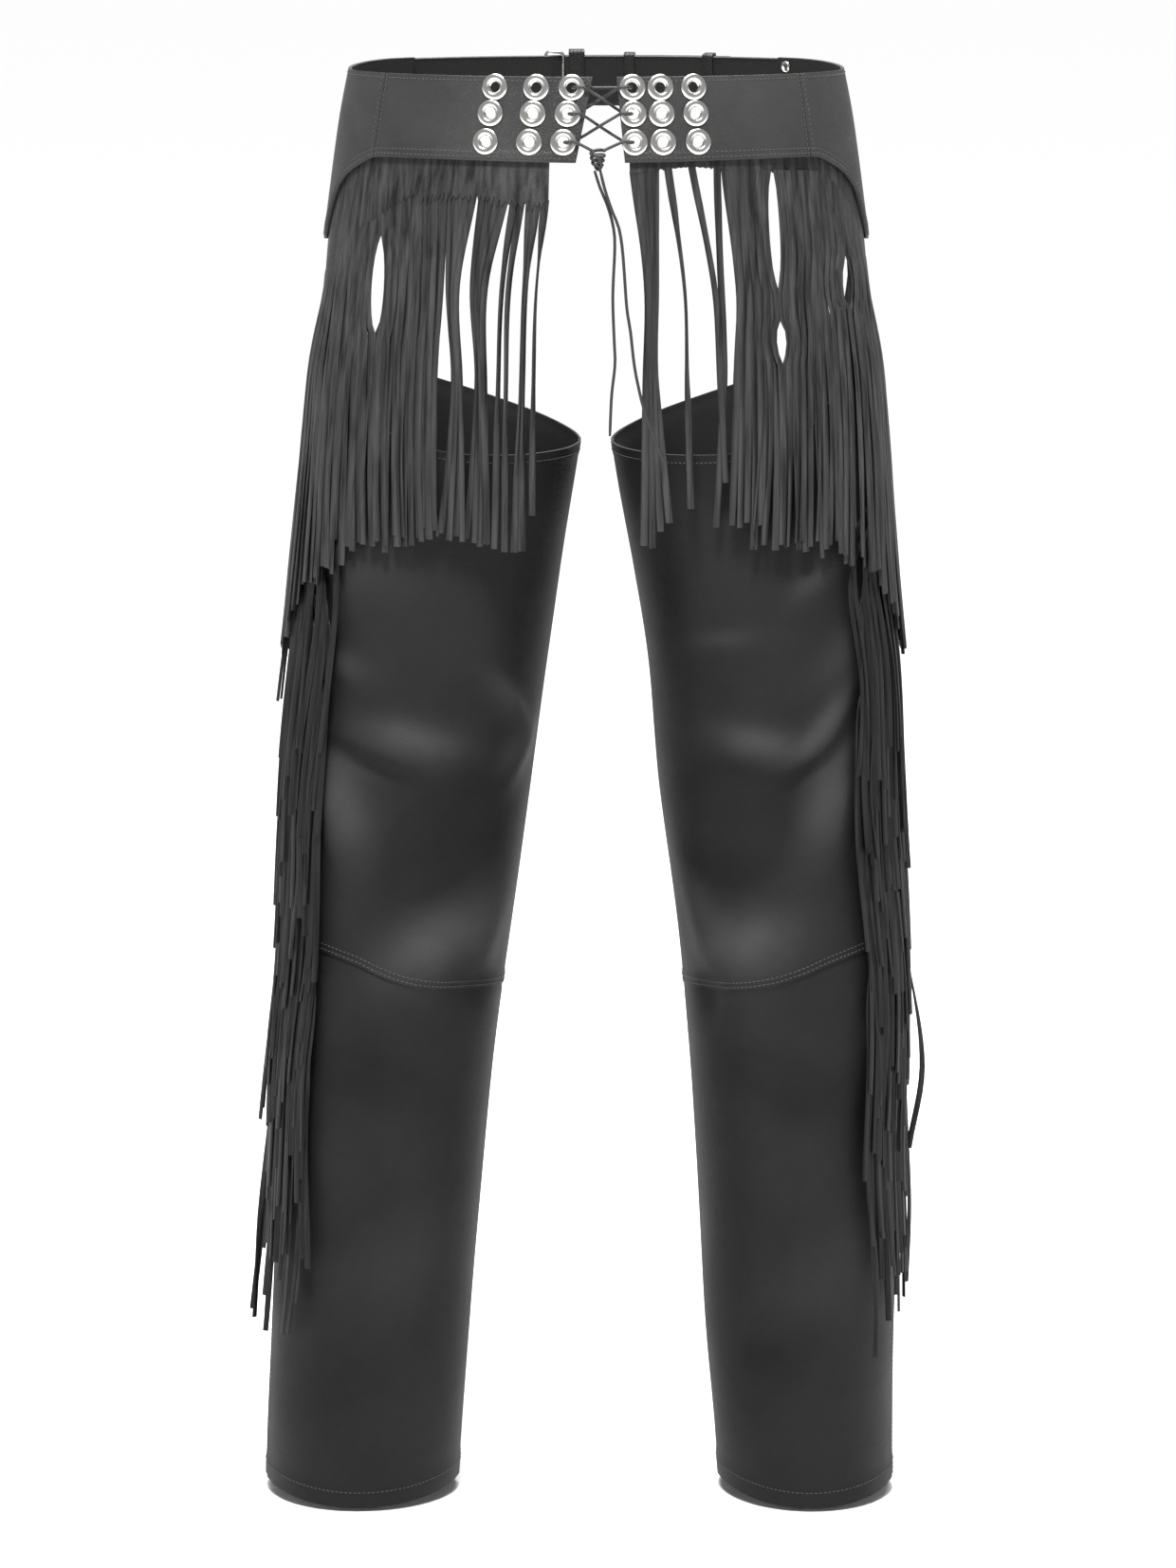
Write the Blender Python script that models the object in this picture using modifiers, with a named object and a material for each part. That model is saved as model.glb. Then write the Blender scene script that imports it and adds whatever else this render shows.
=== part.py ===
"""Fringed leather chaps as a hollow worn form: laced front yoke, back belt, two legs and fringe.

Frame: metres, +Z up, the front faces -Y, image right is +X. The origin is the middle of the waist
at half the height of the front yoke. Angles on a ring start at its front and grow towards the
outer side of the body.
"""

import math
from collections import namedtuple

import bmesh
import bpy
from mathutils import Matrix, Vector

COLLECTION_NAME = "leather_chaps"
CUTTER_COLLECTION_NAME = "cutters"

LEFT = -1
RIGHT = 1
SIDE_NAMES = {LEFT: "left", RIGHT: "right"}

# Leather walls and the layers of the sewn yoke
CLEARANCE = 0.0003
SEAM_GAP = 0.0009
WAIST_RADIUS = 0.16
LEG_RADIUS = 0.085
SLOPE_STEP = 0.002
YOKE_THICKNESS = 0.0024
PANEL_THICKNESS = 0.0018
STRAP_THICKNESS = 0.0025
FRINGE_THICKNESS = 0.0013
YOKE_OUTSIDE = YOKE_THICKNESS / 2
FRINGE_UNDER_YOKE = -0.0021
PANEL_UNDER_FRINGE = -0.0038
STRAP_INSIDE = 0.0021

# Front yoke
YOKE_TOP = 0.030
YOKE_TOP_BACK = 0.034
FlapShape = namedtuple("FlapShape", "edge_x_top edge_x_bottom seam_angle")
FLAP_SHAPES = {
    LEFT: FlapShape(0.0025, 0.0146, 57.3),
    RIGHT: FlapShape(0.0143, 0.0204, 54.2),
}
FLAP_COLUMNS = 11
FLAP_ROWS = 3
SIDE_YOKE_END_ANGLE = 131.0
SIDE_YOKE_COLUMNS = 15
SIDE_YOKE_ROWS = 4

# Grommets: distance of each column from the centre line in the top and in the bottom row
GROMMET_COLUMNS = {
    LEFT: ((0.0717, 0.0784), (0.0425, 0.0475), (0.0173, 0.0233)),
    RIGHT: ((0.0254, 0.0270), (0.0452, 0.0472), (0.0687, 0.0721)),
}
GROMMET_ROWS = (0.0225, 0.0040, -0.0160)
GROMMET_HOLE_RADIUS = 0.0040
GROMMET_BARREL_RADIUS = 0.0047
GROMMET_FLANGE_RADIUS = 0.0079
GROMMET_FLANGE_HEIGHT = 0.0010
GROMMET_LIFT = 0.0005
GROMMET_SEGMENTS = 10
GROMMET_CUT_RADIUS = 0.0051

# Back belt: straps, buckle, keepers and rivet
BELT_BOTTOM = -0.005
BELT_TOP = 0.033
BELT_START_ANGLE = 124.0
BILLET_END_X = 0.097
BUCKLE_LEFT_BAR_X = -0.0370
BUCKLE_RIGHT_BAR_X = -0.0245
BUCKLE_WIRE = 0.0026
BUCKLE_OVERHANG = 0.0023
BILLET_LIFT = 0.0031
STRAP_STEP = 0.014
BUCKLE_CORNER = 0.0030
BAR_CLEARANCE = 0.0004
RAMP_STEP = 0.0033
PRONG_WIRE = 0.0020
PRONG_SLOT = (0.0094, 0.014, 0.0040)
Keeper = namedtuple("Keeper", "name x width rise")
KEEPERS = (
    Keeper("keeper_1", -0.0145, 0.0115, 0.0040),
    Keeper("keeper_2", 0.0245, 0.0080, 0.0018),
    Keeper("keeper_3", 0.0830, 0.0080, 0.0018),
)
KEEPER_THICKNESS = 0.0016
KEEPER_CLEARANCE = 0.0008
RIVET_X = 0.1405
RIVET_Z = 0.0275
RIVET_CAP_RADIUS = 0.0042
RIVET_POST_RADIUS = 0.0016
RIVET_CAP_HEIGHT = 0.0013
RIVET_SEGMENTS = 12

# Legs
HEM_Z = -1.030
OUTSEAM_ANGLE = 82.0
INSEAM_ANGLE = -90.0
PANEL_TUCK = 0.004
THIGH_ROWS = 11
SHIN_ROWS = 9
BACK_ROWS = 17
HIP_SEAM_Z = -0.06
HIP_TOP = -0.12
HIP_BOTTOM = -0.20
SETTLE_START = -0.14
SETTLE_END = -0.40

# Fringe
HEADER_TUCK = 0.005
HEADER_DROP = 0.020
YOKE_FRINGE_END_ANGLE = 101.0
YOKE_STRAND_PITCH = 0.0080
YOKE_STRAND_WIDTH = 0.0042
YOKE_STRAND_LENGTH = 0.255
SIDE_HEADER_TOP = -0.262
SIDE_HEADER_BOTTOM = -0.700
SIDE_HEADER_FRONT_ANGLE = 78.0
SIDE_HEADER_BACK_ANGLE = 86.0
FRONT_FORWARD = 0.012
SIDE_ZONE_DRIFT = 0.006
LIFT_AT_ROOT = 0.0016
LIFT_PER_DROP = 0.030
STRAND_SHARES = (0.28, 0.62, 1.0)
SIDE_STRANDS = 36
SIDE_STRAND_WIDTH = 0.0052
SIDE_STRAND_LENGTH = 0.205
SIDE_STRAND_THICKNESS = 0.0011
SIDE_HEADER_LIFT = 0.0010
SIDE_FLARE_START = 0.165
SIDE_LANES = (0.058, 0.045, 0.032, 0.019, 0.006)
LANE_TURN_DROP = 0.014
LANE_RADIUS = 0.092
SHINGLE_LIFT = 0.0034
SHINGLE_DROP = 0.016
SHINGLE_SLOPE = 0.034

# Lace
LACE_DIAMETER = 0.0022
LACE_TAIL_STEP = 0.0062
LACE_OVER = 0.0043
LACE_UNDER = 0.0030
LACE_PAST_EDGE = 0.0027
LACE_EDGE_GAP = 0.0016
LACE_CROSSING_LIFT = 0.0024
KNOT_CENTRE = Vector((0.0010, -0.1295, -0.0275))
KNOT_HALF_SIZE = Vector((0.0052, 0.0040, 0.0080))
LACE_END = Vector((0.0038, 0.0006, 0.0060))
LONG_TAIL_ROUTE = (
    (0.0028, -0.1305, -0.0352),
    (0.0062, -0.1320, -0.0490),
    (0.0112, -0.1330, -0.0637),
    (0.0158, -0.1335, -0.0750),
    (0.0182, -0.1345, -0.0880),
    (0.0197, -0.1355, -0.1047),
    (0.0217, -0.1365, -0.1323),
    (0.0244, -0.1375, -0.1497),
    (0.0271, -0.1380, -0.1733),
    (0.0311, -0.1380, -0.1934),
    (0.0345, -0.1375, -0.2060),
    (0.0411, -0.1355, -0.2250),
    (0.0488, -0.1320, -0.2440),
)
SHORT_TAIL_ROUTE = (
    (-0.0012, -0.1286, -0.0356),
    (0.0028, -0.1278, -0.0480),
    (0.0078, -0.1273, -0.0600),
    (0.0118, -0.1270, -0.0740),
    (0.0132, -0.1268, -0.0893),
    (0.0118, -0.1265, -0.1250),
    (0.0128, -0.1260, -0.1565),
    (0.0134, -0.1255, -0.1733),
    (0.0112, -0.1250, -0.1934),
    (0.0104, -0.1245, -0.2075),
    (0.0098, -0.1240, -0.2250),
)

BodySection = namedtuple("BodySection", "z half_width half_depth")
BODY_SECTIONS = (
    BodySection(0.034, 0.1780, 0.1170),
    BodySection(0.000, 0.1845, 0.1210),
    BodySection(-0.034, 0.1900, 0.1260),
    BodySection(-0.060, 0.1935, 0.1300),
    BodySection(-0.093, 0.1975, 0.1340),
    BodySection(-0.130, 0.2005, 0.1370),
    BodySection(-0.240, 0.2070, 0.1400),
)

LegSection = namedtuple("LegSection", "z left_x left_half right_x right_half centre_y half_depth")
LEG_SECTIONS = (
    LegSection(-0.030, 0.0935, 0.0965, 0.0935, 0.0965, 0.000, 0.0970),
    LegSection(-0.130, 0.1000, 0.1000, 0.1000, 0.1000, 0.000, 0.1000),
    LegSection(-0.240, 0.1100, 0.0980, 0.1095, 0.0975, 0.000, 0.1020),
    LegSection(-0.337, 0.1210, 0.0940, 0.1200, 0.0915, 0.000, 0.1000),
    LegSection(-0.407, 0.1285, 0.0920, 0.1278, 0.0885, -0.002, 0.0970),
    LegSection(-0.499, 0.1370, 0.0890, 0.1332, 0.0866, -0.004, 0.0920),
    LegSection(-0.621, 0.1488, 0.0820, 0.1433, 0.0803, -0.002, 0.0860),
    LegSection(-0.693, 0.1553, 0.0795, 0.1469, 0.0773, 0.003, 0.0850),
    LegSection(-0.765, 0.1596, 0.0765, 0.1486, 0.0747, 0.007, 0.0840),
    LegSection(-0.837, 0.1642, 0.0752, 0.1508, 0.0724, 0.007, 0.0810),
    LegSection(-0.910, 0.1689, 0.0745, 0.1525, 0.0697, 0.005, 0.0790),
    LegSection(-0.984, 0.1740, 0.0730, 0.1560, 0.0668, 0.003, 0.0780),
    LegSection(-1.030, 0.1765, 0.0718, 0.1580, 0.0650, 0.003, 0.0770),
)

EdgePoint = namedtuple("EdgePoint", "angle z")
YOKE_EDGE = (
    EdgePoint(0.0, -0.0305),
    EdgePoint(56.0, -0.0295),
    EdgePoint(62.0, -0.0345),
    EdgePoint(67.0, -0.0400),
    EdgePoint(72.0, -0.0470),
    EdgePoint(77.0, -0.0580),
    EdgePoint(81.0, -0.0710),
    EdgePoint(85.0, -0.0830),
    EdgePoint(90.0, -0.0930),
    EdgePoint(96.0, -0.0930),
    EdgePoint(102.0, -0.0830),
    EdgePoint(108.0, -0.0670),
    EdgePoint(114.0, -0.0490),
    EdgePoint(120.0, -0.0320),
    EdgePoint(126.0, -0.0180),
    EdgePoint(131.0, -0.0100),
)
KNEE_SEAM = (
    EdgePoint(-90.0, -0.645),
    EdgePoint(-43.0, -0.639),
    EdgePoint(-12.0, -0.632),
    EdgePoint(5.0, -0.625),
    EdgePoint(20.0, -0.617),
    EdgePoint(41.0, -0.610),
    EdgePoint(82.0, -0.601),
)

# Top edges of the leg panels: leg angles that lie under the yoke, then the free edge of the opening
FRONT_UNDER_YOKE = (82.0, 76.0, 70.0, 64.0)
FRONT_FREE_EDGE = (
    EdgePoint(62.0, -0.078),
    EdgePoint(60.5, -0.120),
    EdgePoint(55.0, -0.160),
    EdgePoint(43.0, -0.196),
    EdgePoint(26.0, -0.224),
    EdgePoint(2.0, -0.238),
    EdgePoint(-28.0, -0.2425),
    EdgePoint(-58.0, -0.2425),
    EdgePoint(-90.0, -0.241),
)
BACK_UNDER_YOKE = (82.0, 90.0, 98.0, 106.0)
BACK_FREE_EDGE = (
    EdgePoint(111.0, -0.088),
    EdgePoint(116.0, -0.124),
    EdgePoint(126.0, -0.156),
    EdgePoint(142.0, -0.182),
    EdgePoint(162.0, -0.199),
    EdgePoint(185.0, -0.212),
    EdgePoint(210.0, -0.224),
    EdgePoint(240.0, -0.235),
    EdgePoint(270.0, -0.241),
)

# Large soft folds of the legs: middle, reach along the ring and along the leg, slant and height
Fold = namedtuple("Fold", "angle z reach_angle reach_z slant height")
FOLDS = (
    Fold(-8.0, -0.596, 34.0, 0.020, 0.0000, 0.0032),
    Fold(-14.0, -0.545, 30.0, 0.026, 0.0000, -0.0034),
    Fold(28.0, -0.470, 22.0, 0.022, -0.0010, 0.0028),
    Fold(-40.0, -0.400, 20.0, 0.018, 0.0010, 0.0024),
    Fold(188.0, -0.585, 34.0, 0.018, 0.0004, -0.0036),
    Fold(176.0, -0.630, 34.0, 0.018, -0.0004, 0.0030),
    Fold(192.0, -0.420, 26.0, 0.024, 0.0006, -0.0026),
)

# Strands at the front of the yoke: distance from the centre line at the root and at the tip
Strand = namedtuple("Strand", "root_x tip_x trim")
FRONT_STRANDS = {
    LEFT: (
        Strand(0.0327, 0.0464, 0.030),
        Strand(0.0381, 0.0545, 0.004),
        Strand(0.0448, 0.0599, 0.000),
        Strand(0.0529, 0.0656, 0.000),
        Strand(0.0583, 0.0710, 0.002),
        Strand(0.0677, 0.0765, 0.000),
        Strand(0.0730, 0.0818, 0.001),
        Strand(0.0784, 0.0870, 0.003),
        Strand(0.0885, 0.0925, 0.006),
        Strand(0.0938, 0.0978, 0.004),
        Strand(0.0990, 0.1030, 0.008),
        Strand(0.1042, 0.1082, 0.010),
    ),
    RIGHT: (
        Strand(0.0284, 0.0366, 0.000),
        Strand(0.0336, 0.0418, 0.002),
        Strand(0.0388, 0.0470, 0.014),
        Strand(0.0519, 0.0640, 0.028),
        Strand(0.0674, 0.0870, 0.034),
        Strand(0.0862, 0.0940, 0.012),
        Strand(0.0914, 0.0992, 0.016),
        Strand(0.0966, 0.1044, 0.014),
        Strand(0.1018, 0.1096, 0.018),
    ),
}
SIDE_ZONE_START = {LEFT: 36.0, RIGHT: 36.6}

# Side strands that stand away from the leg at their tips
SIDE_FLARES = {
    LEFT: {31: 0.008, 35: 0.010},
    RIGHT: {27: 0.010, 33: 0.010},
}

MaterialLook = namedtuple("MaterialLook", "name color roughness metallic")
LEATHER = MaterialLook("black_leather", (0.030, 0.030, 0.031, 1.0), 0.42, 0.0)
LEATHER_BELT = MaterialLook("black_belt_leather", (0.026, 0.026, 0.027, 1.0), 0.38, 0.0)
LEATHER_FRINGE = MaterialLook("black_fringe_leather", (0.033, 0.033, 0.034, 1.0), 0.48, 0.0)
LEATHER_LACE = MaterialLook("black_lace", (0.018, 0.018, 0.018, 1.0), 0.55, 0.0)
NICKEL = MaterialLook("polished_nickel", (0.86, 0.86, 0.85, 1.0), 0.18, 1.0)


def smoothstep(low, high, value):
    """Ease from 0 at low to 1 at high."""
    t = min(max((value - low) / (high - low), 0.0), 1.0)
    return t * t * (3.0 - 2.0 * t)


def smooth_lookup(rows, key, value, column):
    """Read one column of a table with a smooth curve through its rows."""
    ordered = sorted(rows, key=lambda row: getattr(row, key))
    keys = [getattr(row, key) for row in ordered]
    values = [getattr(row, column) for row in ordered]
    last = len(keys) - 1
    if value <= keys[0]:
        return values[0]
    if value >= keys[last]:
        return values[last]
    i = next(k for k in range(last) if keys[k] <= value <= keys[k + 1])

    def slope(k):
        low, high = max(k - 1, 0), min(k + 1, last)
        return (values[high] - values[low]) / (keys[high] - keys[low])

    step = keys[i + 1] - keys[i]
    t = (value - keys[i]) / step
    return (
        (2 * t**3 - 3 * t**2 + 1) * values[i]
        + (t**3 - 2 * t**2 + t) * step * slope(i)
        + (-2 * t**3 + 3 * t**2) * values[i + 1]
        + (t**3 - t**2) * step * slope(i + 1)
    )


def body_size(z):
    """Half width and half depth of the body ring at a height."""
    half_width = smooth_lookup(BODY_SECTIONS, "z", z, "half_width")
    half_depth = smooth_lookup(BODY_SECTIONS, "z", z, "half_depth")
    return half_width, half_depth


def body_normal(side, angle, z):
    """Outward direction of the body's surface, with its flare."""
    half_width, half_depth = body_size(z)
    above_width, above_depth = body_size(z + SLOPE_STEP)
    below_width, below_depth = body_size(z - SLOPE_STEP)
    across, ahead = math.sin(math.radians(angle)), math.cos(math.radians(angle))
    flare = across * across * (above_width - below_width) / half_width
    flare += ahead * ahead * (above_depth - below_depth) / half_depth
    return Vector((side * across / half_width, -ahead / half_depth, -flare / (2 * SLOPE_STEP))).normalized()


def body_point(side, angle, z, offset):
    """Point of the body ring at an angle in degrees, moved out by offset."""
    half_width, half_depth = body_size(z)
    turn = math.radians(angle)
    point = Vector((side * half_width * math.sin(turn), -half_depth * math.cos(turn), z))
    return point + body_normal(side, angle, z) * offset


def body_angle_at_x(x, z):
    """Front angle at which the body ring is x away from the centre line."""
    half_width = body_size(z)[0]
    return math.degrees(math.asin(min(x / half_width, 1.0)))


def leg_section(side, z):
    """Centre and half sizes of one leg's ring at a height."""
    name = SIDE_NAMES[side]
    centre_x = smooth_lookup(LEG_SECTIONS, "z", z, name + "_x")
    half_width = smooth_lookup(LEG_SECTIONS, "z", z, name + "_half")
    centre_y = smooth_lookup(LEG_SECTIONS, "z", z, "centre_y")
    half_depth = smooth_lookup(LEG_SECTIONS, "z", z, "half_depth")
    return side * centre_x, centre_y, half_width, half_depth


def leg_normal(side, angle, z):
    """Outward direction of a leg's surface, with its taper."""
    centre_x, centre_y, half_width, half_depth = leg_section(side, z)
    above, below = leg_section(side, z + SLOPE_STEP), leg_section(side, z - SLOPE_STEP)
    across, ahead = side * math.sin(math.radians(angle)), -math.cos(math.radians(angle))
    lean = across * (above[0] - below[0]) / half_width + ahead * (above[1] - below[1]) / half_depth
    lean += across * across * (above[2] - below[2]) / half_width
    lean += ahead * ahead * (above[3] - below[3]) / half_depth
    return Vector((across / half_width, ahead / half_depth, -lean / (2 * SLOPE_STEP))).normalized()


def leg_point(side, angle, z, offset):
    """Point of a leg's ring at an angle in degrees, moved out by offset."""
    centre_x, centre_y, half_width, half_depth = leg_section(side, z)
    turn = math.radians(angle)
    point = Vector((
        centre_x + side * half_width * math.sin(turn),
        centre_y - half_depth * math.cos(turn),
        z,
    ))
    return point + leg_normal(side, angle, z) * offset


def fold_height(angle, z):
    """Height of the large soft folds at a place on a leg."""
    total = 0.0
    for fold in FOLDS:
        along = (angle - fold.angle) / fold.reach_angle
        across = (z - fold.z - fold.slant * (angle - fold.angle)) / fold.reach_z
        total += fold.height * math.exp(-(along * along + across * across))
    return total


def panel_point(side, angle, z):
    """Outer face of a leg panel, which slips under the yoke at the hip."""
    point = leg_point(side, angle, z, fold_height(angle, z))
    hip = smoothstep(HIP_BOTTOM, HIP_TOP, z)
    if hip > 0.0:
        half_width, half_depth = body_size(z)
        around = math.degrees(math.atan2(side * point.x / half_width, -point.y / half_depth))
        point = point.lerp(body_point(side, around, z, PANEL_UNDER_FRINGE), hip)
    return point


def yoke_edge(angle):
    """Height of the yoke's lower edge."""
    return smooth_lookup(YOKE_EDGE, "angle", angle, "z")


def body_angle_of_leg(side, angle, z):
    """Body ring angle of a place that is given by its leg angle."""
    point = leg_point(side, angle, z, 0.0)
    half_width, half_depth = body_size(z)
    return math.degrees(math.atan2(side * point.x / half_width, -point.y / half_depth))


def make_material(look):
    """Principled material, shared by name."""
    material = bpy.data.materials.get(look.name)
    if material is None:
        material = bpy.data.materials.new(look.name)
        material.use_nodes = True
        shader = material.node_tree.nodes["Principled BSDF"]
        shader.inputs["Base Color"].default_value = look.color
        shader.inputs["Roughness"].default_value = look.roughness
        shader.inputs["Metallic"].default_value = look.metallic
        material.diffuse_color = look.color
    return material


def node_material(name, look):
    """A material of the node's own, with the given look."""
    return make_material(look._replace(name=f"{look.name}_{name}"))


def add_mesh(name, points, faces, look):
    """Object from points and faces, smooth shaded, in the object's collection."""
    mesh = bpy.data.meshes.new(name)
    mesh.from_pydata([tuple(point) for point in points], [], faces)
    mesh.update()
    mesh.shade_smooth()
    mesh.set_sharp_from_angle(angle=math.radians(40.0))
    mesh.materials.append(node_material(name, look))
    obj = bpy.data.objects.new(name, mesh)
    bpy.data.collections[COLLECTION_NAME].objects.link(obj)
    return obj


def grid_faces(columns, rows, flip):
    """Quads of a grid whose points run row by row."""
    faces = []
    for row in range(rows - 1):
        for column in range(columns - 1):
            a = row * columns + column
            face = (a, a + 1, a + 1 + columns, a + columns)
            faces.append(face[::-1] if flip else face)
    return faces


def add_shell(name, grid, thickness, look, flip):
    """Leather wall: an open surface through rows of points, thickened inwards."""
    columns = len(grid[0])
    points = [point for row in grid for point in row]
    shell = add_mesh(name, points, grid_faces(columns, len(grid), flip), look)
    solidify = shell.modifiers.new("wall", "SOLIDIFY")
    solidify.thickness = thickness
    solidify.offset = -1.0
    solidify.use_rim = True
    return shell


def cut(obj, cutter):
    """Cut a hole with the exact solver."""
    boolean = obj.modifiers.new("cut_" + cutter.name, "BOOLEAN")
    boolean.operation = "DIFFERENCE"
    boolean.solver = "EXACT"
    boolean.object = cutter


def add_cylinder_cutter(name, places, radius, length, segments):
    """One cutter object made of separate cylinders, each on its own centre and axis."""
    shape = bmesh.new()
    for centre, axis in places:
        turn = axis.to_track_quat("Z", "Y").to_matrix().to_4x4()
        bmesh.ops.create_cone(
            shape,
            cap_ends=True,
            segments=segments,
            radius1=radius,
            radius2=radius,
            depth=length,
            matrix=Matrix.Translation(centre) @ turn,
        )
    return link_cutter(name, shape)


def add_box_cutter(name, centre, size):
    """Box cutter along the world axes."""
    shape = bmesh.new()
    bmesh.ops.create_cube(shape, size=1.0, matrix=Matrix.Translation(centre) @ Matrix.Diagonal((*size, 1.0)))
    return link_cutter(name, shape)


def link_cutter(name, shape):
    """Put a cutter's mesh in the cutters' collection."""
    mesh = bpy.data.meshes.new(name)
    shape.to_mesh(mesh)
    shape.free()
    cutter = bpy.data.objects.new(name, mesh)
    cutter.hide_render = True
    cutter.display_type = "WIRE"
    bpy.data.collections[CUTTER_COLLECTION_NAME].objects.link(cutter)
    return cutter


def add_turned(name, profile, centre, axis, segments, look):
    """Turned ring: a closed profile of radius and height, screwed round its axis."""
    mesh = bpy.data.meshes.new(name)
    count = len(profile)
    edges = [(i, (i + 1) % count) for i in range(count)]
    mesh.from_pydata([(radius, 0.0, height) for radius, height in profile], edges, [])
    mesh.materials.append(node_material(name, look))
    obj = bpy.data.objects.new(name, mesh)
    turn = axis.to_track_quat("Z", "Y").to_matrix().to_4x4()
    obj.matrix_world = Matrix.Translation(centre) @ turn
    screw = obj.modifiers.new("turn", "SCREW")
    screw.axis = "Z"
    screw.steps = segments
    screw.render_steps = segments
    screw.use_merge_vertices = True
    screw.merge_threshold = 0.00001
    screw.use_smooth_shade = True
    bpy.data.collections[COLLECTION_NAME].objects.link(obj)
    return obj


def add_tube(name, points, diameter, resolution, look, closed=False):
    """Round wire or lace along a list of points, with filled ends, made a mesh."""
    curve = bpy.data.curves.new(name, "CURVE")
    curve.dimensions = "3D"
    curve.bevel_depth = diameter / 2
    curve.bevel_resolution = resolution
    curve.use_fill_caps = True
    spline = curve.splines.new("POLY")
    spline.points.add(len(points) - 1)
    for place, point in zip(spline.points, points):
        place.co = (*point, 1.0)
    spline.use_cyclic_u = closed
    curve.materials.append(node_material(name, look))
    obj = bpy.data.objects.new(name, curve)
    bpy.data.collections[COLLECTION_NAME].objects.link(obj)
    return obj


def smooth_route(route, step):
    """Evenly spaced points on a smooth curve through the route's own points."""
    dense = []
    last = len(route) - 1
    for i in range(last):
        before = route[max(i - 1, 0)]
        after = route[min(i + 2, last)]
        start, end = route[i], route[i + 1]
        for k in range(12):
            t = k / 12
            dense.append(0.5 * (
                2 * start
                + (end - before) * t
                + (2 * before - 5 * start + 4 * end - after) * t * t
                + (3 * start - 3 * end + after - before) * t * t * t
            ))
    dense.append(route[last])
    total = sum((b - a).length for a, b in zip(dense, dense[1:]))
    count = max(2, round(total / step))
    points = [dense[0]]
    walked = 0.0
    target = total / count
    for a, b in zip(dense, dense[1:]):
        length = (b - a).length
        while walked + length >= target * len(points) and len(points) < count:
            points.append(a.lerp(b, (target * len(points) - walked) / length))
        walked += length
    points.append(dense[-1])
    return points


def flap_edge_x(side, z):
    """Distance of the front yoke's centre edge from the centre line, larger going down."""
    shape = FLAP_SHAPES[side]
    t = (YOKE_TOP - z) / (YOKE_TOP - yoke_edge(0.0))
    return shape.edge_x_top + (shape.edge_x_bottom - shape.edge_x_top) * t


def flap_edge_angle(side, z):
    """Body angle of the front yoke's centre edge."""
    return body_angle_at_x(flap_edge_x(side, z), z)


def build_front_yoke(side):
    """Half of the laced front yoke, with its nine grommet holes."""
    seam = FLAP_SHAPES[side].seam_angle - math.degrees(CLEARANCE / 2 / WAIST_RADIUS)
    grid = []
    for row in range(FLAP_ROWS + 1):
        line = []
        for column in range(FLAP_COLUMNS + 1):
            t = column / FLAP_COLUMNS
            angle_low = flap_edge_angle(side, yoke_edge(0.0)) * (1 - t) + seam * t
            z = yoke_edge(angle_low) + (YOKE_TOP - yoke_edge(angle_low)) * row / FLAP_ROWS
            angle = flap_edge_angle(side, z) * (1 - t) + seam * t
            line.append(body_point(side, angle, z, YOKE_OUTSIDE))
        grid.append(line)
    flap = add_shell(f"front_yoke_{SIDE_NAMES[side]}", grid, YOKE_THICKNESS, LEATHER, flip=side == LEFT)
    places = [(centre, axis) for _, centre, axis in grommet_places(side)]
    cut(flap, add_cylinder_cutter(
        f"grommet_cutter_{SIDE_NAMES[side]}", places, GROMMET_CUT_RADIUS, 0.012, GROMMET_SEGMENTS
    ))


def grommet_places(side):
    """Name, centre on the yoke's middle layer and axis of each grommet of one half."""
    places = []
    first, last = GROMMET_ROWS[0], GROMMET_ROWS[-1]
    for row, z in enumerate(GROMMET_ROWS):
        for column, (x_top, x_bottom) in enumerate(GROMMET_COLUMNS[side]):
            x = x_top + (x_bottom - x_top) * (first - z) / (first - last)
            angle = body_angle_at_x(x, z)
            name = f"grommet_{SIDE_NAMES[side]}_{row + 1}_{column + 1}"
            places.append((name, body_point(side, angle, z, 0.0), body_normal(side, angle, z)))
    return places


def build_grommets(side):
    """Nine open rings: a barrel through the leather and a flange that lies on it."""
    under = YOKE_OUTSIDE + GROMMET_LIFT
    profile = (
        (GROMMET_HOLE_RADIUS, -YOKE_OUTSIDE),
        (GROMMET_HOLE_RADIUS, under + GROMMET_FLANGE_HEIGHT),
        (GROMMET_FLANGE_RADIUS - 0.0018, under + GROMMET_FLANGE_HEIGHT),
        (GROMMET_FLANGE_RADIUS, under),
        (GROMMET_BARREL_RADIUS, under),
        (GROMMET_BARREL_RADIUS, -YOKE_OUTSIDE),
    )
    for name, centre, axis in grommet_places(side):
        add_turned(name, profile, centre, axis, GROMMET_SEGMENTS, NICKEL)


def build_side_yoke(side):
    """Hip piece of the yoke, from the front seam round to the belt."""
    start = FLAP_SHAPES[side].seam_angle + math.degrees(CLEARANCE / 2 / WAIST_RADIUS)
    grid = []
    for row in range(SIDE_YOKE_ROWS + 1):
        line = []
        for column in range(SIDE_YOKE_COLUMNS + 1):
            angle = start + (SIDE_YOKE_END_ANGLE - start) * column / SIDE_YOKE_COLUMNS
            top = YOKE_TOP + (YOKE_TOP_BACK - YOKE_TOP) * smoothstep(80.0, 125.0, angle)
            z = yoke_edge(angle) + (top - yoke_edge(angle)) * row / SIDE_YOKE_ROWS
            line.append(body_point(side, angle, z, YOKE_OUTSIDE))
        grid.append(line)
    yoke = add_shell(f"side_yoke_{SIDE_NAMES[side]}", grid, YOKE_THICKNESS, LEATHER, flip=side == LEFT)
    if side == RIGHT:
        cut(yoke, bpy.data.objects["rivet_cutter"])


def back_point(x, z, offset):
    """Point at the back of the body ring, x from the centre line, moved out by offset."""
    side = RIGHT if x >= 0.0 else LEFT
    return body_point(side, 180.0 - body_angle_at_x(abs(x), z), z, offset)


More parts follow.
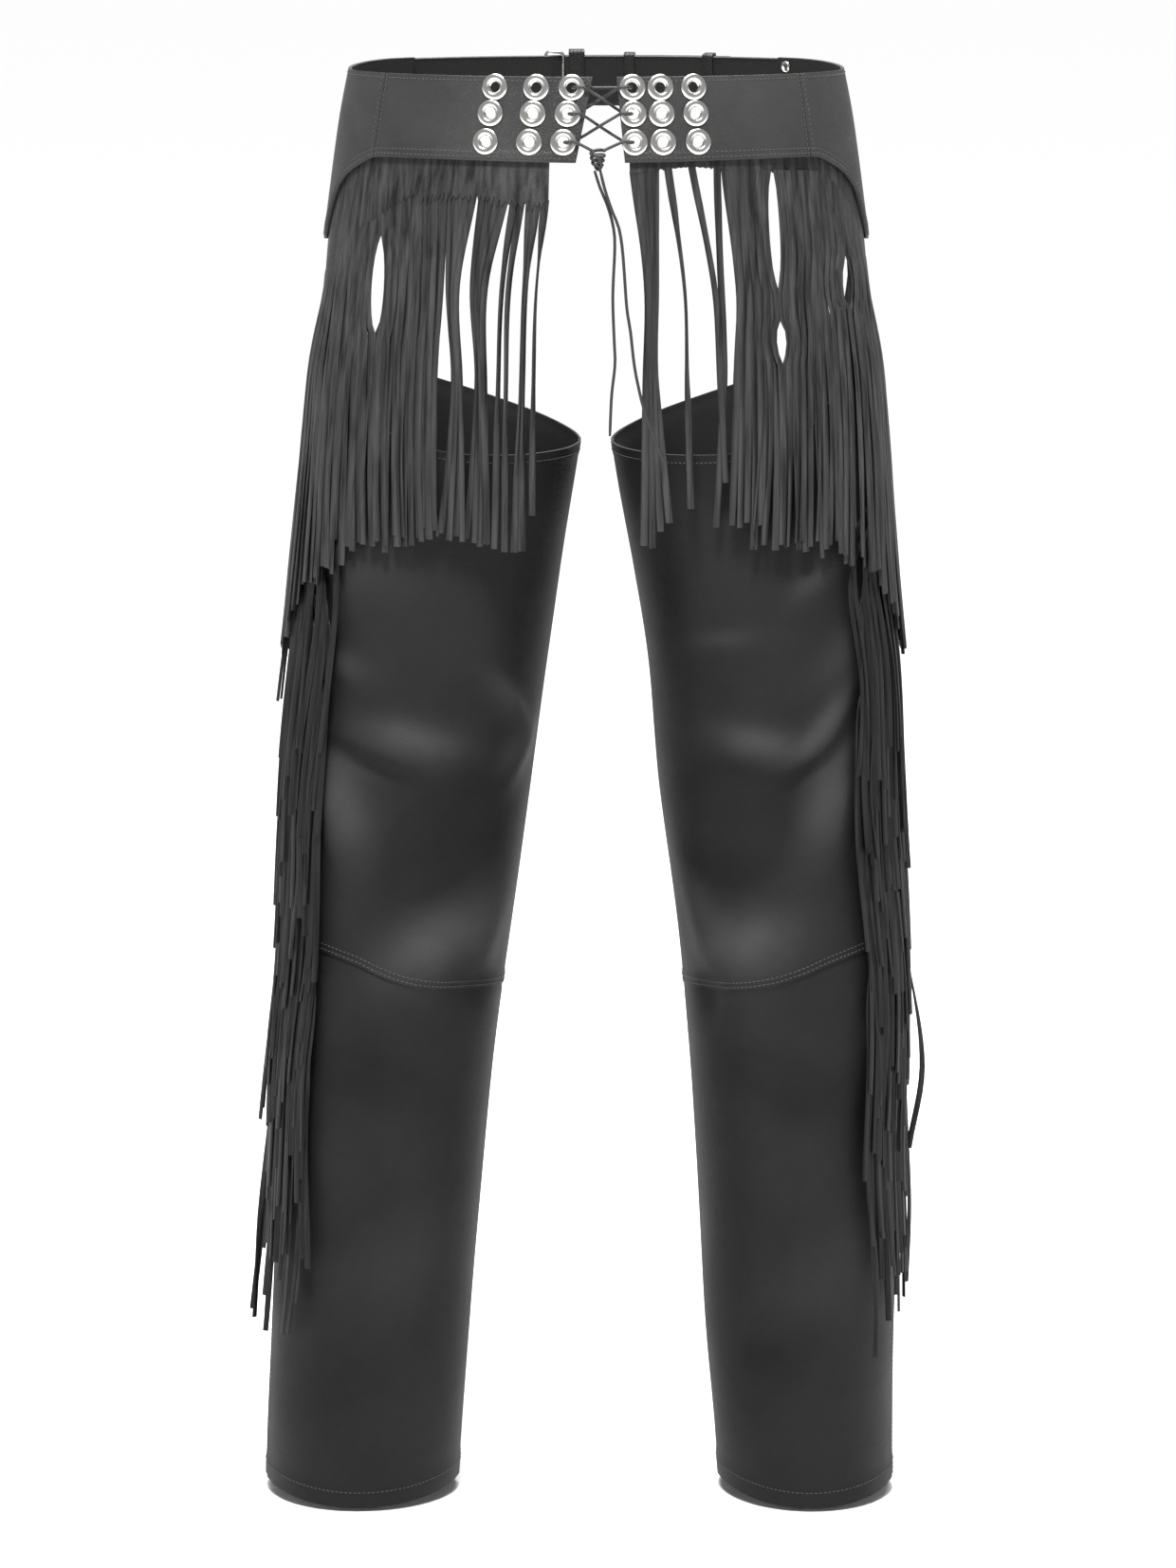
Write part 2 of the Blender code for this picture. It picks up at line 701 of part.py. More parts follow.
def back_normal(x, z):
    """Outward direction at the back of the body ring."""
    side = RIGHT if x >= 0.0 else LEFT
    return body_normal(side, 180.0 - body_angle_at_x(abs(x), z), z)


def back_frame(x, z):
    """Level direction along the belt, outward direction and direction up its slope."""
    normal = back_normal(x, z)
    along = Vector((normal.y, -normal.x, 0.0)).normalized()
    return along, normal, along.cross(normal)


def billet_offset(x):
    """Inner face of the billet: flush at the left, lifted where it lies on the buckle strap."""
    bar_reach = BUCKLE_WIRE / 2
    start = BUCKLE_LEFT_BAR_X + bar_reach
    end = BUCKLE_RIGHT_BAR_X - bar_reach
    return STRAP_INSIDE + BILLET_LIFT * smoothstep(start, end, x)


def strap_grid(stations, offset_at):
    """Rows of points for a strap of the belt's height through a list of x stations."""
    grid = []
    for z in (BELT_BOTTOM, BELT_TOP):
        grid.append([back_point(x, z, offset_at(x) + STRAP_THICKNESS) for x in stations])
    return grid


def spaced(start, end, step):
    """Even stations from start to end."""
    count = max(1, round(abs(end - start) / step))
    return [start + (end - start) * i / count for i in range(count + 1)]


def belt_start_x():
    """Distance from the centre line where the belt's ends lie on the side yokes."""
    half_width = body_size(0.014)[0]
    return half_width * math.sin(math.radians(BELT_START_ANGLE))


def build_belt():
    """Two straps: the billet runs through the buckle and over the buckle strap."""
    bar_reach = BUCKLE_WIRE / 2
    ramp_start = BUCKLE_LEFT_BAR_X + bar_reach
    ramp_end = BUCKLE_RIGHT_BAR_X - bar_reach
    stations = spaced(-belt_start_x(), ramp_start, STRAP_STEP)
    stations += spaced(ramp_start, ramp_end, RAMP_STEP)[1:]
    stations += spaced(ramp_end, BILLET_END_X, STRAP_STEP)[1:]
    billet = add_shell("belt_billet", strap_grid(stations, billet_offset), STRAP_THICKNESS, LEATHER_BELT, True)
    middle = (BELT_TOP + BELT_BOTTOM) / 2
    slot_centre = back_point((ramp_start + ramp_end) / 2, middle, STRAP_INSIDE + BILLET_LIFT)
    cut(billet, add_box_cutter("prong_slot_cutter", slot_centre, PRONG_SLOT))

    strap_end = BUCKLE_RIGHT_BAR_X + bar_reach + CLEARANCE
    stations = spaced(strap_end, belt_start_x(), STRAP_STEP)
    strap = add_shell(
        "belt_buckle_strap", strap_grid(stations, lambda x: STRAP_INSIDE), STRAP_THICKNESS, LEATHER_BELT, True
    )
    cut(strap, bpy.data.objects["rivet_cutter"])


def build_buckle():
    """Wire frame, slanted so that one bar lies over the billet and one under it, and its prong."""
    radius = BUCKLE_WIRE / 2
    over = STRAP_INSIDE + STRAP_THICKNESS + BAR_CLEARANCE + radius
    below = STRAP_INSIDE + BILLET_LIFT - BAR_CLEARANCE - radius
    top = BELT_TOP + BUCKLE_OVERHANG
    bottom = BELT_BOTTOM - BUCKLE_OVERHANG
    corner = BUCKLE_CORNER
    left, right = BUCKLE_LEFT_BAR_X, BUCKLE_RIGHT_BAR_X
    outline = []
    for x, z, start in ((right, top, 0), (left, top, 90), (left, bottom, 180), (right, bottom, 270)):
        centre_x = x - corner if x == right else x + corner
        centre_z = z - corner if z == top else z + corner
        for step in range(4):
            turn = math.radians(start + 30 * step)
            outline.append((centre_x + corner * math.cos(turn), centre_z + corner * math.sin(turn)))
    middle = (BELT_TOP + BELT_BOTTOM) / 2
    points = []
    for x, z in outline:
        lift = over + (below - over) * (x - left) / (right - left)
        upward = back_frame(x, middle)[2]
        points.append(back_point(x, middle, lift) + upward * (z - middle))
    add_tube("buckle_frame", points, BUCKLE_WIRE, 2, NICKEL, closed=True)

    prong_radius = PRONG_WIRE / 2
    resting = over + radius + prong_radius + BAR_CLEARANCE
    route = (
        (right - radius - CLEARANCE - BAR_CLEARANCE, below),
        ((left + right) / 2, over + BAR_CLEARANCE),
        (left, resting),
        (left - radius - prong_radius, resting),
    )
    points = [back_point(x, middle, lift) for x, lift in route]
    add_tube("buckle_prong", points, PRONG_WIRE, 2, NICKEL)


def build_keepers():
    """Flat loops round both straps of the belt."""
    inside = STRAP_INSIDE - KEEPER_CLEARANCE
    outside = STRAP_INSIDE + BILLET_LIFT + STRAP_THICKNESS + KEEPER_CLEARANCE
    middle = (BELT_TOP + BELT_BOTTOM) / 2
    bottom = BELT_BOTTOM - KEEPER_CLEARANCE
    for keeper in KEEPERS:
        along, normal, upward = back_frame(keeper.x, middle)
        base = back_point(keeper.x, middle, 0.0)
        top = BELT_TOP + keeper.rise - KEEPER_THICKNESS
        t = KEEPER_THICKNESS
        inner = ((inside, bottom), (outside, bottom), (outside, top), (inside, top))
        outer = (
            (inside - t, bottom - t),
            (outside + t, bottom - t),
            (outside + t, top + t),
            (inside - t, top + t),
        )
        points = []
        for sign in (-1, 1):
            for outline in (inner, outer):
                for lift, z in outline:
                    points.append(
                        base + along * (sign * keeper.width / 2) + normal * lift + upward * (z - middle)
                    )
        faces = []
        for i in range(4):
            j = (i + 1) % 4
            faces.append((i, j, 4 + j, 4 + i))
            faces.append((8 + j, 8 + i, 12 + i, 12 + j))
            faces.append((j, i, 8 + i, 8 + j))
            faces.append((4 + i, 4 + j, 12 + j, 12 + i))
        add_mesh(keeper.name, points, faces, LEATHER_BELT)


def build_rivet_cutter():
    """Hole for the rivet through the buckle strap and the right side yoke."""
    axis = back_normal(RIVET_X, RIVET_Z)
    centre = back_point(RIVET_X, RIVET_Z, 0.0015)
    add_cylinder_cutter("rivet_cutter", [(centre, axis)], RIVET_POST_RADIUS + 0.0005, 0.016, RIVET_SEGMENTS)


def build_rivet():
    """Rivet through the belt and the side yoke, with a flat cap on each face."""
    axis = back_normal(RIVET_X, RIVET_Z)
    centre = back_point(RIVET_X, RIVET_Z, 0.0)
    inside = -YOKE_OUTSIDE - 0.0004
    outside = STRAP_INSIDE + STRAP_THICKNESS + 0.0004
    profile = (
        (0.0, outside + RIVET_CAP_HEIGHT),
        (RIVET_CAP_RADIUS * 0.6, outside + RIVET_CAP_HEIGHT),
        (RIVET_CAP_RADIUS, outside),
        (RIVET_POST_RADIUS, outside),
        (RIVET_POST_RADIUS, inside),
        (RIVET_CAP_RADIUS, inside),
        (RIVET_CAP_RADIUS * 0.6, inside - RIVET_CAP_HEIGHT),
        (0.0, inside - RIVET_CAP_HEIGHT),
    )
    mesh = bpy.data.meshes.new("belt_rivet")
    edges = [(i, i + 1) for i in range(len(profile) - 1)]
    mesh.from_pydata([(radius, 0.0, height) for radius, height in profile], edges, [])
    mesh.materials.append(node_material("belt_rivet", NICKEL))
    rivet = bpy.data.objects.new("belt_rivet", mesh)
    rivet.matrix_world = Matrix.Translation(centre) @ axis.to_track_quat("Z", "Y").to_matrix().to_4x4()
    screw = rivet.modifiers.new("turn", "SCREW")
    screw.axis = "Z"
    screw.steps = RIVET_SEGMENTS
    screw.render_steps = RIVET_SEGMENTS
    screw.use_merge_vertices = True
    screw.merge_threshold = 0.00001
    bpy.data.collections[COLLECTION_NAME].objects.link(rivet)


def panel_tops(side, under_yoke, free_edge):
    """Top edge of a leg panel as a list of leg angle and height."""
    tops = []
    for angle in under_yoke:
        around = body_angle_of_leg(side, angle, HIP_SEAM_Z)
        tops.append(EdgePoint(angle, yoke_edge(around) + PANEL_TUCK))
    return tops + list(free_edge)


def column_angles(tops):
    """Angles of the panel's columns far below its top edge, more even than at the top."""
    count = len(tops) - 1
    start, end = tops[0].angle, tops[-1].angle
    even = [start + (end - start) * i / count for i in range(count + 1)]
    return [even_angle * 0.65 + top.angle * 0.35 for even_angle, top in zip(even, tops)]


def settled(z):
    """How far a leg panel's columns have spread at a height, from 0 at the hip to 1 lower down."""
    return smoothstep(0.0, SETTLE_START - SETTLE_END, SETTLE_START - z)


def panel_grid(side, tops, low_angles, bottoms, rows):
    """Rows of points from a panel's bottom edge up to its top edge."""
    grid = []
    for row in range(rows + 1):
        line = []
        for top, low_angle, bottom in zip(tops, low_angles, bottoms):
            z = bottom + (top.z - bottom) * row / rows
            settled_at_top = settled(top.z)
            share = (settled(z) - settled_at_top) / (1.0 - settled_at_top) if top.z > SETTLE_END else 1.0
            angle = top.angle + (low_angle - top.angle) * share
            line.append(panel_point(side, angle, z))
        grid.append(line)
    return grid


def seam_gap_angle():
    """Half of the seam's gap as an angle on a leg, wide enough for the walls' inner edges."""
    return math.degrees(SEAM_GAP / 2 / LEG_RADIUS)


def knee_seam(angle):
    """Height of the seam under the knee."""
    return smooth_lookup(KNEE_SEAM, "angle", angle, "z")


def build_leg(side):
    """Front thigh panel, front shin panel and back panel of one leg."""
    name = SIDE_NAMES[side]
    gap = seam_gap_angle()
    front_start, front_end = OUTSEAM_ANGLE - gap, INSEAM_ANGLE + gap
    back_start, back_end = OUTSEAM_ANGLE + gap, INSEAM_ANGLE + 360.0 - gap

    tops = panel_tops(side, FRONT_UNDER_YOKE, FRONT_FREE_EDGE)
    tops[0] = EdgePoint(front_start, tops[0].z)
    tops[-1] = EdgePoint(front_end, tops[-1].z)
    angles = column_angles(tops)
    bottoms = [knee_seam(angle) + CLEARANCE / 2 for angle in angles]
    grid = panel_grid(side, tops, angles, bottoms, THIGH_ROWS)
    add_shell(f"thigh_front_{name}", grid, PANEL_THICKNESS, LEATHER, flip=side == RIGHT)

    knee_tops = [EdgePoint(angle, knee_seam(angle) - CLEARANCE / 2) for angle in angles]
    grid = panel_grid(side, knee_tops, angles, [HEM_Z] * len(angles), SHIN_ROWS)
    add_shell(f"shin_front_{name}", grid, PANEL_THICKNESS, LEATHER, flip=side == RIGHT)

    tops = panel_tops(side, BACK_UNDER_YOKE, BACK_FREE_EDGE)
    tops[0] = EdgePoint(back_start, tops[0].z)
    tops[-1] = EdgePoint(back_end, tops[-1].z)
    angles = column_angles(tops)
    grid = panel_grid(side, tops, angles, [HEM_Z] * len(angles), BACK_ROWS)
    add_shell(f"leg_back_{name}", grid, PANEL_THICKNESS, LEATHER, flip=side == LEFT)


def clear_of_skin(side, point, lift, at_hip):
    """Push a hanging point out of the hip and the thigh, so that it lies lift above them."""
    moved = point.copy()
    hip = smoothstep(HIP_BOTTOM, HIP_TOP, point.z) * at_hip
    centre_x, centre_y, half_width, half_depth = leg_section(side, point.z)
    reach = lift + PANEL_UNDER_FRINGE * hip
    x, y = moved.x - centre_x, moved.y - centre_y
    size = math.hypot(x / (half_width + reach), y / (half_depth + reach))
    if size < 1.0:
        moved.x = centre_x + x / size
        moved.y = centre_y + y / size
    if hip > 0.0:
        half_width, half_depth = body_size(point.z)
        reach = lift * hip + PANEL_UNDER_FRINGE
        size = math.hypot(moved.x / (half_width + reach), moved.y / (half_depth + reach))
        if size < 1.0:
            moved.x /= size
            moved.y /= size
    return moved


def ring_corners(centre, across, outward, width, thickness):
    """Four corners of a strand's section."""
    half_across = across * (width / 2)
    half_out = outward * (thickness / 2)
    return (
        centre - half_across + half_out,
        centre + half_across + half_out,
        centre + half_across - half_out,
        centre - half_across - half_out,
    )


def build_comb(name, cells, strands, flip):
    """One body: a strip of cells, each with a strand that grows out of its lower edge.

    Each cell holds its start and end lines, and a line holds the top outer, top inner, bottom
    outer and bottom inner points. Each strand is a list of sections of four corners.
    """
    points = []
    faces = []
    lines = []
    for start, end in cells:
        for line in (start, end):
            lines.append(len(points))
            points.extend(line)
    for i, (a, b) in enumerate(zip(lines, lines[1:])):
        faces.append((a, a + 2, b + 2, b))
        faces.append((a + 1, b + 1, b + 3, a + 3))
        faces.append((a, b, b + 1, a + 1))
        if i % 2:
            faces.append((a + 2, a + 3, b + 3, b + 2))
    first, last = lines[0], lines[-1]
    faces.append((first, first + 1, first + 3, first + 2))
    faces.append((last, last + 2, last + 3, last + 1))
    for i, sections in enumerate(strands):
        a, b = lines[2 * i], lines[2 * i + 1]
        ring = (a + 2, b + 2, b + 3, a + 3)
        for section in sections:
            base = len(points)
            points.extend(section)
            new_ring = (base, base + 1, base + 2, base + 3)
            for k in range(4):
                m = (k + 1) % 4
                faces.append((ring[m], ring[k], new_ring[k], new_ring[m]))
            ring = new_ring
        faces.append((ring[3], ring[2], ring[1], ring[0]))
    if flip:
        faces = [face[::-1] for face in faces]
    add_mesh(name, points, faces, LEATHER_FRINGE)


def uneven(index, size):
    """Small repeatable variation for the strand of a given number."""
    return size * math.sin(index * 2.399 + 0.7) * math.cos(index * 0.917)


def yoke_strand_roots(side):
    """Body angle, sideways drift and length of each strand under the yoke."""
    roots = []
    for strand in FRONT_STRANDS[side]:
        angle = body_angle_at_x(strand.root_x, yoke_edge(0.0))
        roots.append((angle, strand.tip_x - strand.root_x, YOKE_STRAND_LENGTH - strand.trim))
    angle = SIDE_ZONE_START[side]
    index = 0
    while angle < YOKE_FRINGE_END_ANGLE:
        drift = SIDE_ZONE_DRIFT * (1.0 - smoothstep(36.0, 60.0, angle))
        roots.append((angle, drift, YOKE_STRAND_LENGTH + uneven(index, 0.006)))
        here = body_point(side, angle, yoke_edge(angle), 0.0)
        ahead = body_point(side, angle + 0.5, yoke_edge(angle + 0.5), 0.0)
        sideways = math.hypot(ahead.x - here.x, ahead.y - here.y)
        steep = abs(ahead.z - here.z)
        angle += 0.5 * YOKE_STRAND_PITCH / math.hypot(sideways, 0.3 * steep)
        index += 1
    return roots


def build_yoke_fringe(side):
    """Strip sewn behind the yoke's lower edge, with its hanging strands."""
    half = YOKE_STRAND_WIDTH / 2
    cells = []
    strands = []
    for index, (angle, drift, length) in enumerate(yoke_strand_roots(side)):
        edge_z = yoke_edge(angle)
        normal = body_normal(side, angle, edge_z)
        across = Vector((-normal.y, normal.x, 0.0)).normalized() * side
        low_z = edge_z - HEADER_DROP
        before, after = body_point(side, angle - 0.5, low_z, 0.0), body_point(side, angle + 0.5, low_z, 0.0)
        one_degree = (after - before).length
        pair = []
        for sign in (-1, 1):
            local = angle + sign * half / one_degree
            line = []
            for z in (yoke_edge(local) + HEADER_TUCK, low_z):
                for layer in (0.0, -FRINGE_THICKNESS):
                    line.append(body_point(side, local, z, FRINGE_UNDER_YOKE + layer))
            pair.append(line)
        cells.append(pair)
        root = (pair[0][2] + pair[0][3] + pair[1][2] + pair[1][3]) / 4
        forward = FRONT_FORWARD * (1.0 - smoothstep(20.0, 50.0, angle))
        sections = []
        for share in STRAND_SHARES:
            drop = length * share
            sweep = drift * smoothstep(0.0, 0.8, share)
            point = root + Vector((side * sweep, forward * share, -drop))
            lift = LIFT_AT_ROOT + LIFT_PER_DROP * drop
            point = clear_of_skin(side, point, lift, smoothstep(50.0, 62.0, angle))
            sections.append(ring_corners(point, across, normal, YOKE_STRAND_WIDTH, FRINGE_THICKNESS))
        strands.append(sections)
    build_comb(f"yoke_fringe_{SIDE_NAMES[side]}", cells, strands, flip=side == LEFT)


def side_strand_point(side, root_z, lane, drop, flare):
    """Middle of a side strand after a given drop from its root, with its leg angle."""
    forward = SIDE_LANES[lane] * (1.0 - math.exp(-drop / LANE_TURN_DROP))
    forward += SIDE_STRAND_WIDTH / 2 * (1.0 - math.exp(-drop / (0.3 * LANE_TURN_DROP)))
    lift = SIDE_HEADER_LIFT + SIDE_STRAND_THICKNESS / 2
    lift += SHINGLE_LIFT * (1.0 - math.exp(-drop / SHINGLE_DROP)) + SHINGLE_SLOPE * drop + flare
    z = root_z - drop
    angle = SIDE_HEADER_FRONT_ANGLE - math.degrees(forward / LANE_RADIUS)
    return leg_point(side, angle, z, lift), angle, z


def build_side_fringe(side):
    """Strip sewn on the outer seam, with strands that fall past the ones below, like shingles."""
    pitch = (SIDE_HEADER_TOP - SIDE_HEADER_BOTTOM) / SIDE_STRANDS
    cells = []
    strands = []
    for index in range(SIDE_STRANDS):
        lane = index % len(SIDE_LANES)
        root_z = SIDE_HEADER_TOP - (index + 0.5) * pitch
        pair = []
        for sign in (1, -1):
            z = root_z + sign * SIDE_STRAND_WIDTH / 2
            line = []
            for angle in (SIDE_HEADER_BACK_ANGLE, SIDE_HEADER_FRONT_ANGLE):
                for lift in (SIDE_HEADER_LIFT + SIDE_STRAND_THICKNESS, SIDE_HEADER_LIFT):
                    line.append(leg_point(side, angle, z, lift))
            pair.append(line)
        cells.append(pair)
        length = SIDE_STRAND_LENGTH + uneven(index, 0.018)
        flare = SIDE_FLARES[side].get(index, 0.0)
        sections = []
        stations = [(0.009, 0.55), (0.036, 0.95), (0.110, 1.0), (length, 1.0)]
        if flare:
            stations.insert(3, (SIDE_FLARE_START, 1.0))
        for drop, turned in stations:
            stand_off = flare * max(0.0, drop - SIDE_FLARE_START) / (length - SIDE_FLARE_START)
            point, angle, z = side_strand_point(side, root_z, lane, drop, stand_off)
            normal = leg_normal(side, angle, z)
            level = Vector((normal.y, -normal.x, 0.0)).normalized() * side
            tilt = math.radians(90.0 * (1.0 - turned))
            across = -(level * math.cos(tilt) + Vector((0.0, 0.0, 1.0)) * math.sin(tilt))
            sections.append(ring_corners(point, across, normal, SIDE_STRAND_WIDTH, SIDE_STRAND_THICKNESS))
        strands.append(sections)
    build_comb(f"side_fringe_{SIDE_NAMES[side]}", cells, strands, flip=side == LEFT)


def lace_at(side, x, z, lift):
    """Point of the lace, x from the centre line, lift above or below the yoke's middle layer."""
    return body_point(side, body_angle_at_x(x, z), z, lift)


def lace_through(side, row):
    """Lace from the front of one half, through its inner grommet, to behind it."""
    x = next(centre.x for name, centre, _ in grommet_places(side) if name.endswith(inner_grommet(side, row)))
    x = abs(x)
    z = GROMMET_ROWS[row]
    edge = GROMMET_HOLE_RADIUS
    radius = LACE_DIAMETER / 2
    return [
        lace_at(side, x - edge - 2 * LACE_DIAMETER, z, LACE_OVER),
        lace_at(side, x - edge, z, LACE_OVER),
        lace_at(side, x - 1.5 * radius, z, YOKE_OUTSIDE + radius),
        lace_at(side, x - 0.8 * radius, z, 0.0),
        lace_at(side, x - 1.5 * radius, z, -YOKE_OUTSIDE - radius),
        lace_at(side, x - edge - radius, z, -LACE_UNDER),
    ]


def inner_grommet(side, row):
    """End of the name of the grommet nearest to the centre."""
    return f"_{row + 1}_{3 if side == LEFT else 1}"


def lace_cross(start, end, middle_lift):
    """Crossing between two rows, from one half's face to the other's, past both centre edges."""
    places = []
    for place in (start, end):
        side = LEFT if place.x < 0.0 else RIGHT
        share = 0.0
        for _ in range(4):
            z = place.z + (start.z + end.z - 2.0 * place.z) * share
            x = side * (flap_edge_x(side, z) - LACE_EDGE_GAP)
            share = (x - place.x) / (start.x + end.x - 2.0 * place.x)
        front = math.hypot(place.x / body_size(z)[0], place.y / body_size(z)[1]) > 1.0
        lift = LACE_PAST_EDGE if front else -LACE_PAST_EDGE
        places.append(lace_at(side, abs(x), z, lift))
    middle = (places[0] + places[1]) / 2
    side = LEFT if middle.x < 0.0 else RIGHT
    return [places[0], lace_at(side, abs(middle.x), middle.z, middle_lift), places[1]]


def build_lace():
    """Criss-cross lace through six grommets, its knot and its two hanging tails."""
    left_3, right_2, left_1 = lace_through(LEFT, 2), lace_through(RIGHT, 1), lace_through(LEFT, 0)
    right_1, left_2, right_3 = lace_through(RIGHT, 0), lace_through(LEFT, 1), lace_through(RIGHT, 2)
    knot_left = KNOT_CENTRE + Vector((-LACE_END.x, LACE_END.y, LACE_END.z))
    knot_right = KNOT_CENTRE + LACE_END
    near, far = LACE_CROSSING_LIFT, -LACE_CROSSING_LIFT
    route = [knot_left]
    route += left_3 + lace_cross(left_3[-1], right_2[0], near)
    route += right_2 + lace_cross(right_2[-1], left_1[0], near)
    route += left_1 + right_1[::-1] + lace_cross(right_1[0], left_2[-1], far)
    route += left_2[::-1] + lace_cross(left_2[0], right_3[-1], far)
    route += right_3[::-1] + [knot_right]
    add_tube("lace_crossing", route, LACE_DIAMETER, 1, LEATHER_LACE)

    shape = bmesh.new()
    scale = Matrix.Translation(KNOT_CENTRE) @ Matrix.Diagonal((*KNOT_HALF_SIZE, 1.0))
    bmesh.ops.create_uvsphere(shape, u_segments=10, v_segments=7, radius=1.0, matrix=scale)
    mesh = bpy.data.meshes.new("lace_knot")
    shape.to_mesh(mesh)
    shape.free()
    mesh.shade_smooth()
    mesh.materials.append(node_material("lace_knot", LEATHER_LACE))
    knot = bpy.data.objects.new("lace_knot", mesh)
    bpy.data.collections[COLLECTION_NAME].objects.link(knot)

    for name, route in (("lace_tail_long", LONG_TAIL_ROUTE), ("lace_tail_short", SHORT_TAIL_ROUTE)):
        points = smooth_route([Vector(place) for place in route], LACE_TAIL_STEP)
        add_tube(name, points, LACE_DIAMETER, 2, LEATHER_LACE)


def main():
    """Build every piece."""
    for obj in list(bpy.data.objects):
        bpy.data.objects.remove(obj)
    for name in (COLLECTION_NAME, CUTTER_COLLECTION_NAME):
        bpy.context.scene.collection.children.link(bpy.data.collections.new(name))
    build_rivet_cutter()
    for side in (LEFT, RIGHT):
        build_front_yoke(side)
        build_grommets(side)
        build_side_yoke(side)
        build_leg(side)
        build_yoke_fringe(side)
        build_side_fringe(side)
    build_belt()
    build_buckle()
    build_keepers()
    build_rivet()
    build_lace()


main()
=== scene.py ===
"""Fringed leather chaps in their worn form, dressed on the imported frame.

Metres, +Z up, the front faces -Y. The origin is the middle of the waist, at half the height of the
front yoke. Angles on a ring start at its front and grow towards the outer side of the body. Every
panel lies on the form of its solid, with the folds and hems of the real leather added.
"""

from __future__ import annotations

import logging
import math
from dataclasses import dataclass, field
from enum import Enum
from typing import Callable, NamedTuple, Sequence

import bmesh
import bpy
import numpy as np
from mathutils import Matrix, Vector

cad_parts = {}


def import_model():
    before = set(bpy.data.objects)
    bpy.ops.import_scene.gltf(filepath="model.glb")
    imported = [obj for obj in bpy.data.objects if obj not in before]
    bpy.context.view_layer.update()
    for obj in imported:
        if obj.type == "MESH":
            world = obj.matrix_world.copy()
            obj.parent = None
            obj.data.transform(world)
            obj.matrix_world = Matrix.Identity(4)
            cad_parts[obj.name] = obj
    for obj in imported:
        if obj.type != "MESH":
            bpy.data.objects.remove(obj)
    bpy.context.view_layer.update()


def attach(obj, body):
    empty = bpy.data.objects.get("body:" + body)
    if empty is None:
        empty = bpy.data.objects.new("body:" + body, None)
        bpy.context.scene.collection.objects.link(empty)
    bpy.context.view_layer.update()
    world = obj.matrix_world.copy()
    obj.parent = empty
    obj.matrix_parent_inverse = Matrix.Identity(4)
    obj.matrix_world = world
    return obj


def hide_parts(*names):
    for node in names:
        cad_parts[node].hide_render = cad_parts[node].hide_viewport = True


LOG = logging.getLogger("chaps")
Values = float | np.ndarray
SEED = 41
# Mesh attribute that holds the painted highlight and painted shade of the leg folds.
SHEEN_ATTRIBUTE = "rubbed"


class Side(Enum):
    """Which leg, as the photograph shows it."""

    LEFT = -1
    RIGHT = 1

    @property
    def label(self) -> str:
        """Word used in names."""
        return self.name.lower()

    @property
    def sign(self) -> float:
        """Direction along X."""
        return float(self.value)


# Shaping


def ease(low: float, high: float, value: Values) -> Values:
    """Ease from 0 at low to 1 at high.

    Args:
        low: value where the ramp starts.
        high: value where the ramp ends.
        value: number or array.

    Returns:
        The ramp's height, from 0 to 1.
    """
    t = np.clip((value - low) / (high - low), 0.0, 1.0)
    return t * t * (3.0 - 2.0 * t)


def bell(value: Values, middle: float, reach: float) -> Values:
    """Soft bump of height 1 at middle, that is low at reach away from it."""
    return np.exp(-(((value - middle) / reach) ** 2))


def stack(x: Values, y: Values, z: Values) -> np.ndarray:
    """Points from three arrays of coordinates."""
    return np.stack(np.broadcast_arrays(x, y, z), axis=-1).astype(float)


def unit(vectors: np.ndarray) -> np.ndarray:
    """Vectors at length one."""
    return vectors / np.linalg.norm(vectors, axis=-1, keepdims=True)


@dataclass(frozen=True)
class SmoothCurve:
    """Smooth curve through a short table of keys and values."""

    keys: tuple[float, ...]
    values: tuple[float, ...]

    @classmethod
    def of(cls, rows: Sequence[NamedTuple], key: str, column: str) -> "SmoothCurve":
        """Curve of one column of a table against another."""
        ordered = sorted(rows, key=lambda row: getattr(row, key))
        return cls(tuple(getattr(r, key) for r in ordered), tuple(getattr(r, column) for r in ordered))

    def __call__(self, at: Values) -> Values:
        """Read the curve.

        Args:
            at: key or array of keys, held inside the table.

        Returns:
            The curve's values there.
        """
        keys, values = np.array(self.keys), np.array(self.values)
        last = len(keys) - 1
        index = np.arange(last + 1)
        low, high = np.maximum(index - 1, 0), np.minimum(index + 1, last)
        slopes = (values[high] - values[low]) / (keys[high] - keys[low])
        at = np.clip(at, keys[0], keys[last])
        i = np.clip(np.searchsorted(keys, at, side="right") - 1, 0, last - 1)
        step = keys[i + 1] - keys[i]
        t = (at - keys[i]) / step
        return (
            (2 * t**3 - 3 * t**2 + 1) * values[i]
            + (t**3 - 2 * t**2 + t) * step * slopes[i]
            + (-2 * t**3 + 3 * t**2) * values[i + 1]
            + (t**3 - t**2) * step * slopes[i + 1]
        )


# Sizes shared by the pieces

YOKE_TOP = 0.030
YOKE_TOP_BACK = 0.034
YOKE_WALL = 0.0024
YOKE_FACE = YOKE_WALL / 2
PANEL_WALL = 0.0018
FRINGE_UNDER_YOKE = -0.0021
PANEL_UNDER_FRINGE = -0.0038
STRAP_INSIDE = 0.0021
STRAP_WALL = 0.0025
BELT_BOTTOM = -0.005
BELT_TOP = 0.033
BELT_MIDDLE = (BELT_BOTTOM + BELT_TOP) / 2
BILLET_LIFT = 0.0031
HEM_Z = -1.030
OUTSEAM_ANGLE = 82.0
SLOPE_STEP = 0.002


class HipRing(NamedTuple):
    """Half sizes of the hips at a height."""

    z: float
    half_width: float
    half_depth: float


HIP_RINGS = (
    HipRing(0.034, 0.1780, 0.1170),
    HipRing(0.000, 0.1845, 0.1210),
    HipRing(-0.034, 0.1900, 0.1260),
    HipRing(-0.060, 0.1935, 0.1300),
    HipRing(-0.093, 0.1975, 0.1340),
    HipRing(-0.130, 0.2005, 0.1370),
    HipRing(-0.240, 0.2070, 0.1400),
)


